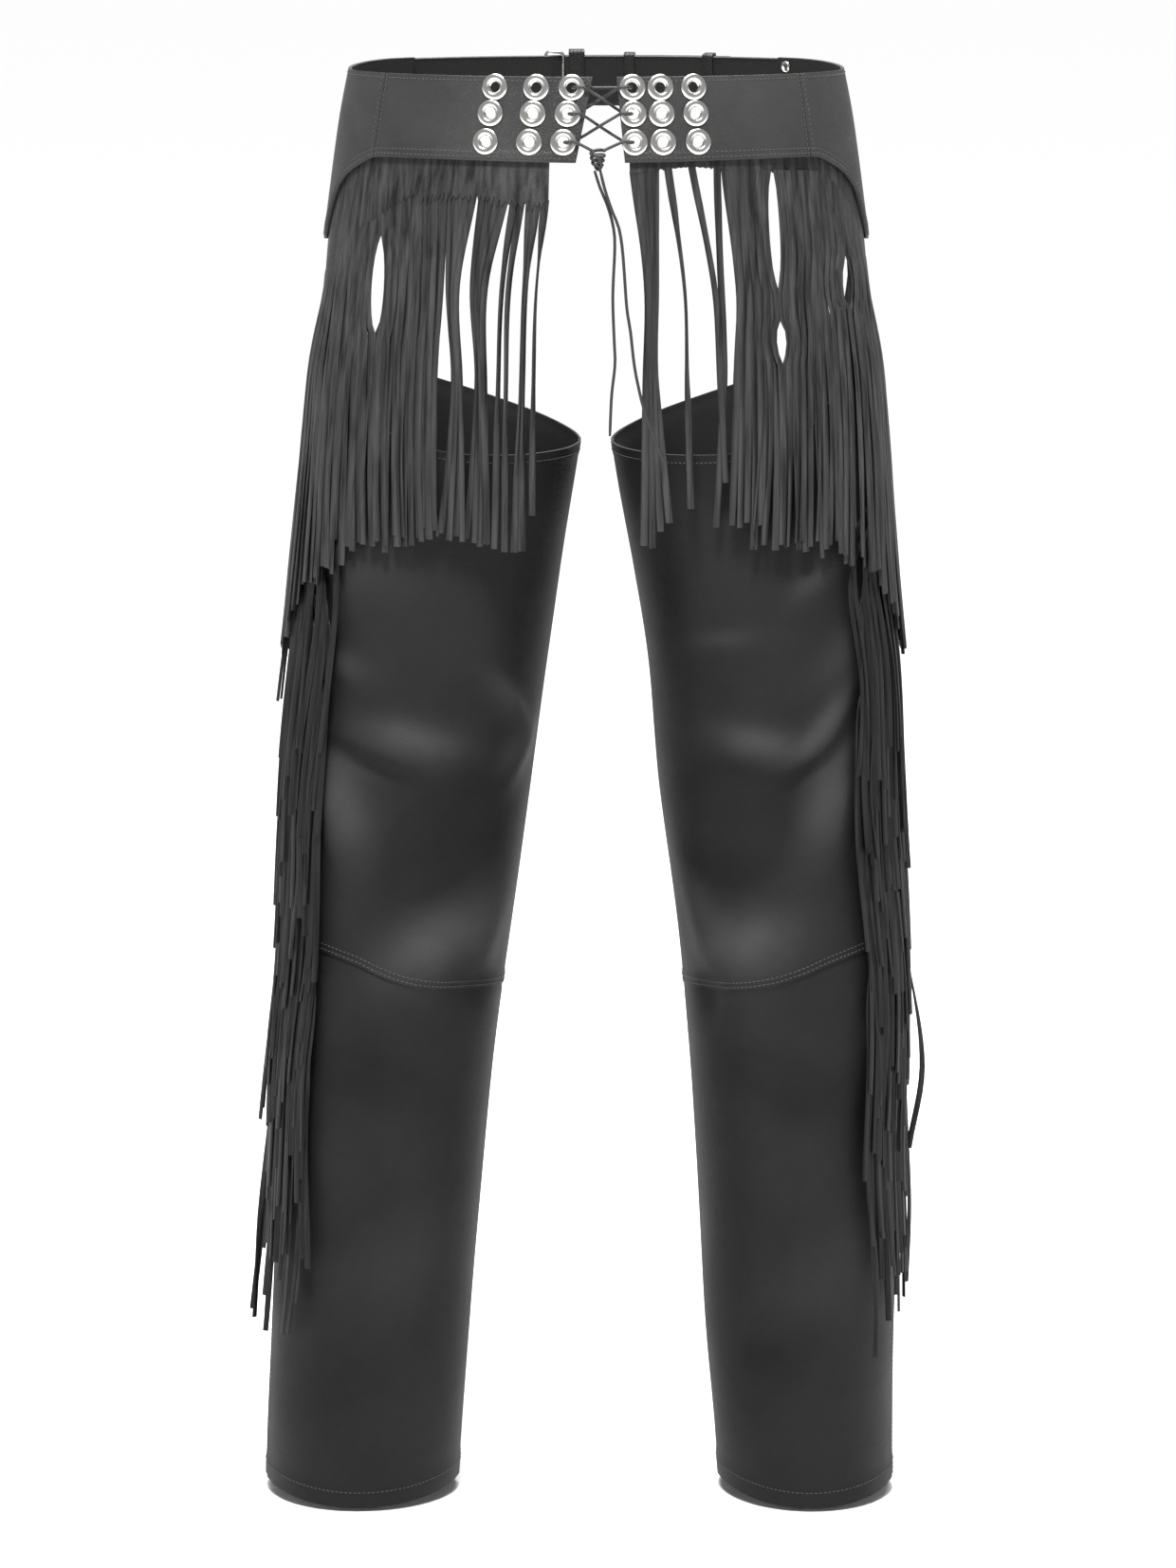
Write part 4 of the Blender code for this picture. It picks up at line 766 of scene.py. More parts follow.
class Bench:
    """Makes the pieces' meshes and enters them on the frame."""

    def __init__(self, wardrobe: Wardrobe) -> None:
        self.wardrobe = wardrobe

    def enter(self, piece: bpy.types.Object, slot: str, *nodes: str) -> bpy.types.Object:
        """Enter a piece on the frame.

        Args:
            piece: the finished object.
            slot: not used.
            nodes: solids that the piece stands for.

        Returns:
            The same piece.
        """
        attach(piece, "root")
        if nodes:
            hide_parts(*nodes)
        LOG.info("piece %s", piece.name)
        return piece

    def mesh(
        self, name: str, points: np.ndarray, faces: Sequence[Sequence[int]], materials: Sequence[bpy.types.Material]
    ) -> bpy.types.Object:
        """Object from points and faces, smooth shaded."""
        mesh = bpy.data.meshes.new(name)
        mesh.from_pydata(np.asarray(points, dtype=float).reshape(-1, 3).tolist(), [], list(faces))
        mesh.update()
        mesh.shade_smooth()
        for material in materials:
            mesh.materials.append(material)
        piece = bpy.data.objects.new(name, mesh)
        bpy.context.scene.collection.objects.link(piece)
        return piece

    def settle(self, piece: bpy.types.Object, sharp: float = 45.0) -> bpy.types.Object:
        """Turn a piece's modifiers into its mesh."""
        depsgraph = bpy.context.evaluated_depsgraph_get()
        mesh = bpy.data.meshes.new_from_object(piece.evaluated_get(depsgraph))
        piece.modifiers.clear()
        old = piece.data
        piece.data = mesh
        mesh.name = piece.name
        if isinstance(old, bpy.types.Mesh):
            bpy.data.meshes.remove(old)
        mesh.shade_smooth()
        mesh.set_sharp_from_angle(angle=math.radians(sharp))
        return piece

    def shell(
        self,
        name: str,
        cloth: "Cloth",
        wall: float,
        outside: bpy.types.Material,
        round_edge: float = 0.0005,
        cutters: Sequence[bpy.types.Object] = (),
    ) -> bpy.types.Object:
        """Leather wall with a grain side, a flesh side and cut edges.

        Args:
            name: piece's name.
            cloth: its outer face.
            wall: thickness, inwards.
            outside: finish of the outer face.
            round_edge: width of the softened edge, or 0.
            cutters: objects whose shapes are cut out, and then removed.

        Returns:
            The piece.
        """
        rows, columns = cloth.points.shape[:2]
        faces = grid_faces(rows, columns, cloth.flip)
        piece = self.mesh(name, cloth.points, faces, (outside, self.wardrobe.flesh, self.wardrobe.edge))
        solidify = piece.modifiers.new("wall", "SOLIDIFY")
        solidify.thickness = wall
        solidify.offset = -1.0
        solidify.use_rim = True
        solidify.material_offset = 1
        solidify.material_offset_rim = 2
        if round_edge:
            bevel = piece.modifiers.new("soft_edge", "BEVEL")
            bevel.width = round_edge
            bevel.segments = 2
            bevel.limit_method = "ANGLE"
            bevel.angle_limit = math.radians(60.0)
        for cutter in cutters:
            boolean = piece.modifiers.new("hole", "BOOLEAN")
            boolean.operation = "DIFFERENCE"
            boolean.solver = "EXACT"
            boolean.object = cutter
        self.settle(piece)
        for cutter in cutters:
            bpy.data.objects.remove(cutter)
        return piece

    def cylinders(self, name: str, places: Sequence[tuple[Vector, Vector]], radius: float) -> bpy.types.Object:
        """Cutter of separate cylinders, each on a centre and an axis."""
        shape = bmesh.new()
        for centre, axis in places:
            turn = Vector(axis).to_track_quat("Z", "Y").to_matrix().to_4x4()
            bmesh.ops.create_cone(
                shape, cap_ends=True, segments=40, radius1=radius, radius2=radius, depth=0.016,
                matrix=Matrix.Translation(centre) @ turn,
            )
        mesh = bpy.data.meshes.new(name)
        shape.to_mesh(mesh)
        shape.free()
        cutter = bpy.data.objects.new(name, mesh)
        cutter.hide_render = True
        bpy.context.scene.collection.objects.link(cutter)
        return cutter

    def turned(
        self,
        name: str,
        profile: Sequence[tuple[float, float]],
        centre: Vector,
        axis: Vector,
        material: bpy.types.Material,
        closed: bool = True,
        segments: int = 40,
    ) -> bpy.types.Object:
        """Turned piece from a profile of radius and height on an axis."""
        turn = np.linspace(0.0, 2.0 * math.pi, segments, endpoint=False)
        matrix = np.array(Vector(axis).to_track_quat("Z", "Y").to_matrix())
        rings = [
            stack(radius * np.cos(turn), radius * np.sin(turn), height) @ matrix.T + np.array(centre)
            for radius, height in profile
        ]
        points = np.concatenate(rings)
        count = len(profile)
        faces = []
        for i in range(count if closed else count - 1):
            j = (i + 1) % count
            for k in range(segments):
                m = (k + 1) % segments
                faces.append((i * segments + k, i * segments + m, j * segments + m, j * segments + k))
        if not closed:
            faces.append(tuple(range(segments))[::-1])
            faces.append(tuple((count - 1) * segments + k for k in range(segments)))
        piece = self.mesh(name, points, faces, (material,))
        make_outward(piece.data)
        piece.data.set_sharp_from_angle(angle=math.radians(50.0))
        return piece

    def tube(
        self,
        name: str,
        points: Sequence[Sequence[float]],
        diameter: float,
        material: bpy.types.Material,
        closed: bool = False,
        ends: float = 0.7,
    ) -> bpy.types.Object:
        """Round wire or lace along points, as a curve with eased ends."""
        curve = bpy.data.curves.new(name, "CURVE")
        curve.dimensions = "3D"
        curve.bevel_depth = diameter / 2
        curve.bevel_resolution = 4
        curve.use_fill_caps = True
        spline = curve.splines.new("POLY")
        spline.points.add(len(points) - 1)
        for place, point in zip(spline.points, points):
            place.co = (*point, 1.0)
        spline.use_cyclic_u = closed
        if not closed:
            spline.points[0].radius = spline.points[-1].radius = ends
        curve.materials.append(material)
        piece = bpy.data.objects.new(name, curve)
        bpy.context.scene.collection.objects.link(piece)
        return piece

    def stitches(
        self, name: str, lines: Sequence[tuple[np.ndarray, np.ndarray]], pitch: float = 0.0034, thread: float = 0.0007
    ) -> bpy.types.Object:
        """Rows of sewn stitches.

        Args:
            name: piece's name.
            lines: for each seam, its points and the outward directions there.
            pitch: distance from stitch to stitch.
            thread: thickness of the thread.

        Returns:
            One piece with all the stitches.
        """
        ring = np.array([(0.0, 1.0), (1.0, 0.15), (0.0, -0.5), (-1.0, 0.15)]) * thread / 2
        points: list[np.ndarray] = []
        faces: list[tuple[int, ...]] = []
        for line, normals in lines:
            steps = np.linalg.norm(np.diff(line, axis=0), axis=1)
            walked = np.concatenate(([0.0], np.cumsum(steps)))
            count = max(1, int(walked[-1] / pitch))
            middles = (np.arange(count) + 0.5) * walked[-1] / count
            for middle in middles:
                ends = [np.array([np.interp(middle + o, walked, line[:, c]) for c in range(3)])
                        for o in (-0.37 * pitch, 0.37 * pitch)]
                out = unit(np.array([np.interp(middle, walked, normals[:, c]) for c in range(3)]))
                along = unit(ends[1] - ends[0])
                side = np.cross(along, out)
                base = len(points)
                points.append(ends[0] - out * thread * 0.35)
                for share in (0.16, 0.84):
                    middle_point = ends[0] * (1.0 - share) + ends[1] * share
                    for across, up in ring:
                        points.append(middle_point + side * across + out * (up + thread * 0.18))
                points.append(ends[1] - out * thread * 0.35)
                for k in range(4):
                    m = (k + 1) % 4
                    faces.append((base, base + 1 + m, base + 1 + k))
                    faces.append((base + 1 + k, base + 1 + m, base + 5 + m, base + 5 + k))
                    faces.append((base + 9, base + 5 + k, base + 5 + m))
        return self.mesh(name, np.array(points), faces, (self.wardrobe.thread,))


def make_outward(mesh: bpy.types.Mesh) -> None:
    """Turn a closed mesh's faces outwards."""
    shape = bmesh.new()
    shape.from_mesh(mesh)
    bmesh.ops.recalc_face_normals(shape, faces=shape.faces)
    shape.to_mesh(mesh)
    shape.free()


def grid_faces(rows: int, columns: int, flip: bool) -> list[tuple[int, ...]]:
    """Quads of a grid whose points run row by row."""
    start = (np.arange(rows - 1)[:, None] * columns + np.arange(columns - 1)[None, :]).ravel()
    quads = np.stack((start, start + 1, start + 1 + columns, start + columns), axis=1)
    return (quads[:, ::-1] if flip else quads).tolist()


def edge_stations(count: int, fine: Sequence[float] = (0.003, 0.0065, 0.0115, 0.019)) -> np.ndarray:
    """Shares from 0 to 1, closer together near both ends."""
    inner = np.linspace(fine[-1] * 1.6, 1.0 - fine[-1] * 1.6, count)
    return np.concatenate(([0.0], fine, inner, 1.0 - np.array(fine)[::-1], [1.0]))


def smooth_path(route: Sequence[Sequence[float]], step: float) -> np.ndarray:
    """Evenly spaced points on a smooth curve through a route's own points.

    Args:
        route: the route's given points.
        step: distance between the points returned.

    Returns:
        The points.
    """
    points = np.array(route, dtype=float)
    padded = np.concatenate((points[:1], points, points[-1:]))
    dense = []
    for i in range(len(points) - 1):
        before, start, end, after = padded[i : i + 4]
        t = (np.arange(12) / 12.0)[:, None]
        dense.append(0.5 * (
            2 * start
            + (end - before) * t
            + (2 * before - 5 * start + 4 * end - after) * t**2
            + (3 * start - 3 * end + after - before) * t**3
        ))
    dense.append(points[-1:])
    line = np.concatenate(dense)
    walked = np.concatenate(([0.0], np.cumsum(np.linalg.norm(np.diff(line, axis=0), axis=1))))
    count = max(2, round(walked[-1] / step))
    targets = np.linspace(0.0, walked[-1], count + 1)
    return np.stack([np.interp(targets, walked, line[:, c]) for c in range(3)], axis=1)


class Edge(Enum):
    """Edges of a leather piece."""

    BOTTOM = "bottom"
    TOP = "top"
    START = "start"
    END = "end"


@dataclass(frozen=True)
class Cloth:
    """Outer face of a leather piece, as rows of points from its lower edge up."""

    points: np.ndarray
    flip: bool

    def normals(self) -> np.ndarray:
        """Outward directions at all points."""
        made = unit(np.cross(np.gradient(self.points, axis=1), np.gradient(self.points, axis=0)))
        return -made if self.flip else made

    def reach(self, edge: Edge) -> np.ndarray:
        """Distances of all points from an edge.

        Args:
            edge: the edge that distances are walked from.

        Returns:
            One distance for each point, along its row or column.
        """
        axis = 0 if edge in (Edge.BOTTOM, Edge.TOP) else 1
        steps = np.linalg.norm(np.diff(self.points, axis=axis), axis=-1)
        walked = np.cumsum(steps, axis=axis)
        zeros = np.zeros_like(walked.take([0], axis=axis))
        walked = np.concatenate((zeros, walked), axis=axis)
        if edge in (Edge.TOP, Edge.END):
            walked = walked.take([-1], axis=axis) - walked
        return walked

    def line(self, edge: Edge, inset: float, start: float = 0.0, end: float = 1.0) -> tuple[np.ndarray, np.ndarray]:
        """Line on the face that runs at a distance from an edge.

        Args:
            edge: the edge.
            inset: distance from it.
            start: share of the edge where the line begins.
            end: share of the edge where it ends.

        Returns:
            The line's points and the outward directions there.
        """
        reach, points, normals = self.reach(edge), self.points, self.normals()
        if edge in (Edge.START, Edge.END):
            reach, points, normals = reach.T, points.swapaxes(0, 1), normals.swapaxes(0, 1)
        if edge in (Edge.TOP, Edge.END):
            reach, points, normals = reach[::-1], points[::-1], normals[::-1]
        count = reach.shape[1]
        picks = range(int(start * (count - 1)), int(end * (count - 1)) + 1)
        line = np.array([[np.interp(inset, reach[:, k], points[:, k, c]) for c in range(3)] for k in picks])
        out = np.array([[np.interp(inset, reach[:, k], normals[:, k, c]) for c in range(3)] for k in picks])
        return line, unit(out)

    def cut_size(self) -> tuple[float, float, float]:
        """Width, length and area of the leather as it was cut."""
        width = float(self.reach(Edge.END)[:, 0].max())
        length = float(self.reach(Edge.TOP)[0].max())
        p = self.points
        diagonals = np.cross(p[1:, 1:] - p[:-1, :-1], p[1:, :-1] - p[:-1, 1:])
        return width, length, float(np.linalg.norm(diagonals, axis=-1).sum() / 2)

    def declare(self, piece: bpy.types.Object, held: str, extras: Sequence[bpy.types.Object]) -> None:
        """Work out the width, length and area of the piece's cut; the values are not kept."""
        width, length, area = self.cut_size()


# Yoke


class Flap(NamedTuple):
    """Half of the front yoke: its centre edge, its seam and its grommet columns."""

    edge_x_top: float
    edge_x_bottom: float
    seam_angle: float
    columns: tuple[tuple[float, float], ...]


FLAPS = {
    Side.LEFT: Flap(0.0025, 0.0146, 57.3, ((0.0717, 0.0784), (0.0425, 0.0475), (0.0173, 0.0233))),
    Side.RIGHT: Flap(0.0143, 0.0204, 54.2, ((0.0254, 0.0270), (0.0452, 0.0472), (0.0687, 0.0721))),
}
GROMMET_ROWS = (0.0225, 0.0040, -0.0160)


class RingPlace(NamedTuple):
    """Where a grommet sits."""

    name: str
    centre: np.ndarray
    axis: np.ndarray


def flap_edge_x(side: Side, z: Values) -> Values:
    """Distance of a front half's centre edge from the centre line."""
    flap = FLAPS[side]
    return flap.edge_x_top + (flap.edge_x_bottom - flap.edge_x_top) * (YOKE_TOP - z) / (YOKE_TOP - YOKE_EDGE(0.0))


def ring_places(side: Side, hips: HipForm) -> list[RingPlace]:
    """Places of one half's nine grommets.

    Args:
        side: the half.
        hips: form that the yoke lies on.

    Returns:
        The places, row by row.
    """
    places = []
    for row, z in enumerate(GROMMET_ROWS):
        share = (GROMMET_ROWS[0] - z) / (GROMMET_ROWS[0] - GROMMET_ROWS[-1])
        for column, (x_top, x_bottom) in enumerate(FLAPS[side].columns):
            angle = hips.angle_at(x_top + (x_bottom - x_top) * share, z)
            name = f"{side.label}_{row + 1}_{column + 1}"
            places.append(RingPlace(name, hips.point(side, angle, z), hips.normal(side, angle, z)))
    return places


@dataclass
class Yoke:
    """Waist part: two laced front halves, and two hip pieces that deepen to the sides."""

    bench: Bench
    hips: HipForm
    clearance: float = 0.0003
    waist_radius: float = 0.16
    back_angle: float = 131.0
    hole_radius: float = 0.0051
    top_row: float = 0.0032
    lower_rows: tuple[float, float] = (0.0026, 0.0062)
    seam_row: float = 0.0026

    def _pressed(self, cloth: Cloth, open_edge: Edge | None) -> np.ndarray:
        """Lift of the turned edges and the sewn rows."""
        low = cloth.reach(Edge.BOTTOM)
        lift = 0.0004 * np.exp(-(((low - 0.0044) / 0.0022) ** 2)) - 0.0003 * np.exp(-((low - 0.0085) / 0.0014) ** 2)
        for edge in (Edge.START, Edge.END):
            if edge is not open_edge:
                lift = lift - 0.0006 * np.exp(-((cloth.reach(edge) / 0.0016) ** 2))
        return lift

    def front(self, side: Side) -> Cloth:
        """Outer face of one front half.

        Args:
            side: the half.

        Returns:
            Its grid of points.
        """
        seam = FLAPS[side].seam_angle - math.degrees(self.clearance / 2 / self.waist_radius)
        t = edge_stations(58)[None, :]
        up = edge_stations(20, (0.010, 0.025, 0.045, 0.07))[:, None]
        low = self.hips.angle_at(flap_edge_x(side, YOKE_EDGE(0.0)), YOKE_EDGE(0.0)) * (1 - t) + seam * t
        z = YOKE_EDGE(low) + (YOKE_TOP - YOKE_EDGE(low)) * up
        angle = self.hips.angle_at(flap_edge_x(side, z), z) * (1 - t) + seam * t
        flat = Cloth(self.hips.point(side, angle, z, YOKE_FACE), side is Side.LEFT)
        lift = YOKE_FACE + self._pressed(flat, Edge.START)
        for place in ring_places(side, self.hips):
            away = np.linalg.norm(flat.points - place.centre, axis=-1)
            lift = lift - 0.0003 * np.exp(-((away / 0.010) ** 2))
        lift = lift + 0.0007 * bell(angle, 40.0 + 3.0 * side.sign, 7.0) * bell(z, 0.004, 0.022)
        return Cloth(self.hips.point(side, angle, z, lift), side is Side.LEFT)

    def hip(self, side: Side) -> Cloth:
        """Outer face of one hip piece.

        Args:
            side: the half.

        Returns:
            Its grid of points.
        """
        start = FLAPS[side].seam_angle + math.degrees(self.clearance / 2 / self.waist_radius)
        angle = start + (self.back_angle - start) * edge_stations(70)[None, :]
        up = edge_stations(30, (0.006, 0.016, 0.03, 0.05))[:, None]
        top = YOKE_TOP + (YOKE_TOP_BACK - YOKE_TOP) * ease(80.0, 125.0, angle)
        z = YOKE_EDGE(angle) + (top - YOKE_EDGE(angle)) * up
        flat = Cloth(self.hips.point(side, angle, z, YOKE_FACE), side is Side.LEFT)
        wave = 0.0009 * bell(angle, 78.0, 11.0) * bell(z, -0.006, 0.030)
        wave = wave - 0.0007 * bell(angle, 97.0, 9.0) * bell(z, -0.030, 0.030)
        lift = YOKE_FACE + self._pressed(flat, Edge.END) + wave
        return Cloth(self.hips.point(side, angle, z, lift), side is Side.LEFT)

    def build(self, side: Side) -> dict[str, tuple[bpy.types.Object, Cloth, list[bpy.types.Object]]]:
        """Make one half of the yoke with its sewing.

        Args:
            side: the half.

        Returns:
            For the front and the hip piece: the piece, its face, and what is sewn on it.
        """
        made = {}
        front = self.front(side)
        centres = [(Vector(place.centre), Vector(place.axis)) for place in ring_places(side, self.hips)]
        cutter = self.bench.cylinders("hole_cutter", centres, self.hole_radius)
        piece = self.bench.shell(
            f"yoke_front_{side.label}", front, YOKE_WALL, self.bench.wardrobe.yoke, 0.0006, (cutter,)
        )
        self.bench.enter(piece, "leather", f"front_yoke_{side.label}")
        rows = [front.line(Edge.TOP, self.top_row), front.line(Edge.END, self.seam_row)]
        rows += [front.line(Edge.BOTTOM, inset) for inset in self.lower_rows]
        rows.append(front.line(Edge.START, self.top_row, 0.03, 0.97))
        sewing = self.bench.stitches(f"yoke_front_stitches_{side.label}", rows)
        self.bench.enter(sewing, "leather")
        made["front"] = (piece, front, [sewing])

        hip = self.hip(side)
        piece = self.bench.shell(f"yoke_hip_{side.label}", hip, YOKE_WALL, self.bench.wardrobe.yoke, 0.0006)
        self.bench.enter(piece, "leather", f"side_yoke_{side.label}")
        rows = [hip.line(Edge.TOP, self.top_row), hip.line(Edge.START, self.seam_row)]
        rows += [hip.line(Edge.BOTTOM, inset) for inset in self.lower_rows]
        rows.append(hip.line(Edge.END, self.top_row, 0.04, 0.96))
        sewing = self.bench.stitches(f"yoke_hip_stitches_{side.label}", rows)
        self.bench.enter(sewing, "leather")
        made["hip"] = (piece, hip, [sewing])
        return made


@dataclass
class Grommets:
    """Eighteen open nickel rings: a rolled flange in front and a barrel that runs through to the back."""

    bench: Bench
    hips: HipForm
    hole: float = 0.0040
    barrel: float = 0.0047
    flange: float = 0.0079
    height: float = 0.0014

    def _profile(self) -> list[tuple[float, float]]:
        """Half section of one ring, as radius and height."""
        base = YOKE_FACE + 0.0002
        top = base + self.height
        back = -YOKE_FACE
        roll = [
            (self.hole + 0.0030 + 0.0024 * math.sin(math.radians(a)), base + 0.0012 * math.cos(math.radians(a)))
            for a in range(70, -75, -12)
        ]
        return [
            (self.hole, back - 0.0004),
            (self.hole, base + 0.0004),
            (self.hole + 0.0002, top - 0.0005),
            *roll[::-1],
            (self.flange - 0.0003, base + 0.0004),
            (self.flange, base + 0.0001),
            (self.flange - 0.0002, base - 0.0001),
            (self.barrel, base - 0.0001),
            (self.barrel, back - 0.0002),
        ]

    def build(self, side: Side) -> None:
        """Make one half's rings."""
        for place in ring_places(side, self.hips):
            ring = self.bench.turned(
                "ring_" + place.name, self._profile(), place.centre, place.axis, self.bench.wardrobe.nickel
            )
            self.bench.enter(ring, "nickel", "grommet_" + place.name)


# Leg panels

FRONT_TOPS = (
    EdgePoint(62.0, -0.078), EdgePoint(60.5, -0.120), EdgePoint(55.0, -0.160), EdgePoint(43.0, -0.196),
    EdgePoint(26.0, -0.224), EdgePoint(2.0, -0.238), EdgePoint(-28.0, -0.2425), EdgePoint(-58.0, -0.2425),
    EdgePoint(-90.0, -0.241),
)
BACK_TOPS = (
    EdgePoint(111.0, -0.088), EdgePoint(116.0, -0.124), EdgePoint(126.0, -0.156), EdgePoint(142.0, -0.182),
    EdgePoint(162.0, -0.199), EdgePoint(185.0, -0.212), EdgePoint(210.0, -0.224), EdgePoint(240.0, -0.235),
    EdgePoint(270.0, -0.241),
)
FRONT_UNDER_YOKE = (82.0, 76.0, 70.0, 64.0)
BACK_UNDER_YOKE = (82.0, 90.0, 98.0, 106.0)


class Panel(Enum):
    """The three panels of a leg."""

    THIGH = "thigh_front"
    SHIN = "shin_front"
    BACK = "leg_back"


@dataclass
class LegPanels:
    """Front thigh, front shin and back of one leg, with their sewn edges."""

    bench: Bench
    hips: HipForm
    leg: LegForm
    seam_gap: float = 0.0009
    leg_radius: float = 0.085
    tuck: float = 0.004
    hip_seam_z: float = -0.06
    knee_gap: float = 0.00015
    hem_row: float = 0.0120
    opening_row: float = 0.0060
    knee_rows: tuple[float, float] = (0.0024, 0.0062)
    hem_rise: float = 0.0080

    def _tops(self, panel: Panel, u: np.ndarray) -> tuple[np.ndarray, np.ndarray, np.ndarray]:
        """Top edge of the thigh or the back panel.

        Args:
            panel: which panel.
            u: shares along the edge, from the outer seam to the inner seam.

        Returns:
            The edge's angles and heights, and the angles further down.
        """
        gap = math.degrees(self.seam_gap / 2 / self.leg_radius)
        under, free = (BACK_UNDER_YOKE, BACK_TOPS) if panel is Panel.BACK else (FRONT_UNDER_YOKE, FRONT_TOPS)
        around = [self.hips.around(self.leg.side, self.leg.ring(a, self.hip_seam_z)) for a in under]
        tops = [EdgePoint(a, float(YOKE_EDGE(b)) + self.tuck) for a, b in zip(under, around)] + list(free)
        turn = gap if panel is Panel.BACK else -gap
        angles = [top.angle for top in tops]
        angles[0], angles[-1] = angles[0] + turn, angles[-1] - turn
        knots = tuple(range(len(tops)))
        top_angle = SmoothCurve(knots, tuple(angles))(u * knots[-1])
        top_z = SmoothCurve(knots, tuple(top.z for top in tops))(u * knots[-1])
        even = angles[0] + (angles[-1] - angles[0]) * u
        return top_angle, top_z, even * 0.65 + top_angle * 0.35

    def _lift(self, panel: Panel, flat: Cloth, around: np.ndarray) -> np.ndarray:
        """Lift of the seams and the turned edges.

        Args:
            panel: which panel.
            flat: the panel without them.
            around: angles of the points.

        Returns:
            Distance outwards for each point.
        """
        lift = 0.0
        for edge in (Edge.START, Edge.END):
            away = flat.reach(edge)
            lift = lift - 0.0007 * np.exp(-((away / 0.0022) ** 2)) + 0.0004 * bell(away, 0.006, 0.004)
        if panel is not Panel.SHIN:
            away = flat.reach(Edge.TOP)
            lift = lift + 0.0005 * (1.0 - ease(0.0075, 0.0100, away))
        if panel is Panel.THIGH:
            away = flat.reach(Edge.BOTTOM)
            lift = lift + 0.0006 * (1.0 - ease(0.0080, 0.0115, away))
        if panel is Panel.SHIN:
            away = flat.reach(Edge.TOP)
            lift = lift - 0.0006 * np.exp(-((away / 0.0035) ** 2))
        if panel is not Panel.THIGH:
            away = flat.reach(Edge.BOTTOM)
            lift = lift + 0.0006 * (1.0 - ease(0.0140, 0.0175, away))
        return lift + 0.0 * around

    def face(self, panel: Panel) -> Cloth:
        """Outer face of a panel.

        Args:
            panel: which panel.

        Returns:
            Its grid of points.
        """
        u = edge_stations(62)[None, :]
        rows = {Panel.THIGH: 110, Panel.SHIN: 96, Panel.BACK: 190}[panel]
        up = edge_stations(rows, (0.002, 0.0045, 0.008, 0.012))[:, None]
        top_angle, top_z, low_angle = self._tops(Panel.THIGH if panel is Panel.SHIN else panel, u)
        if panel is Panel.SHIN:
            top_angle, top_z = low_angle, KNEE_SEAM(low_angle) - self.knee_gap
        bottom = HEM_Z + self.hem_rise * np.sin(np.radians(low_angle)) ** 2
        if panel is Panel.THIGH:
            bottom = KNEE_SEAM(low_angle) + self.knee_gap
        z = bottom + (top_z - bottom) * up
        settled = ease(0.0, 0.26, -0.14 - z)
        at_top = ease(0.0, 0.26, -0.14 - top_z)
        share = np.where(at_top < 0.999, (settled - at_top) / np.maximum(1.0 - at_top, 0.001), 1.0)
        angle = top_angle + (low_angle - top_angle) * share
        flip = (self.leg.side is Side.LEFT) == (panel is Panel.BACK)
        flat = Cloth(self.leg.skin(angle, z), flip)
        return Cloth(self.leg.skin(angle, z, self._lift(panel, flat, angle)), flip)

    def build(self) -> dict[Panel, tuple[bpy.types.Object, Cloth, list[bpy.types.Object]]]:
        """Make the three panels with their sewing.

        Returns:
            For each panel: the piece, its face, and what is sewn on it.
        """
        made = {}
        label = self.leg.side.label
        for panel in Panel:
            face = self.face(panel)
            name = f"{panel.value}_panel_{label}"
            piece = self.bench.shell(name, face, PANEL_WALL, self.bench.wardrobe.panel, 0.0005)
            # Store the painted highlight and painted shade of the folds on the panel's points.
            places = np.array([vertex.co[:] for vertex in piece.data.vertices])
            sheen_share = piece.data.attributes.new(SHEEN_ATTRIBUTE, "FLOAT", "POINT")
            sheen_share.data.foreach_set("value", self.leg.rubbed(places).astype(np.float32))
            self.bench.enter(piece, "leather", f"{panel.value}_{label}")
            rows = []
            if panel is Panel.THIGH:
                rows += [face.line(Edge.BOTTOM, inset) for inset in self.knee_rows]
                rows.append(face.line(Edge.TOP, self.opening_row, 0.27))
            if panel is Panel.SHIN:
                rows.append(face.line(Edge.BOTTOM, self.hem_row))
            if panel is Panel.BACK:
                rows.append(face.line(Edge.TOP, self.opening_row, 0.27))
                rows.append(face.line(Edge.BOTTOM, self.hem_row))
                rows.append(face.line(Edge.START, 0.0030, 0.0, 0.97))
            sewing = self.bench.stitches(f"{panel.value}_stitches_{label}", rows)
            self.bench.enter(sewing, "leather")
            made[panel] = (piece, face, [sewing])
        return made


# Fringe


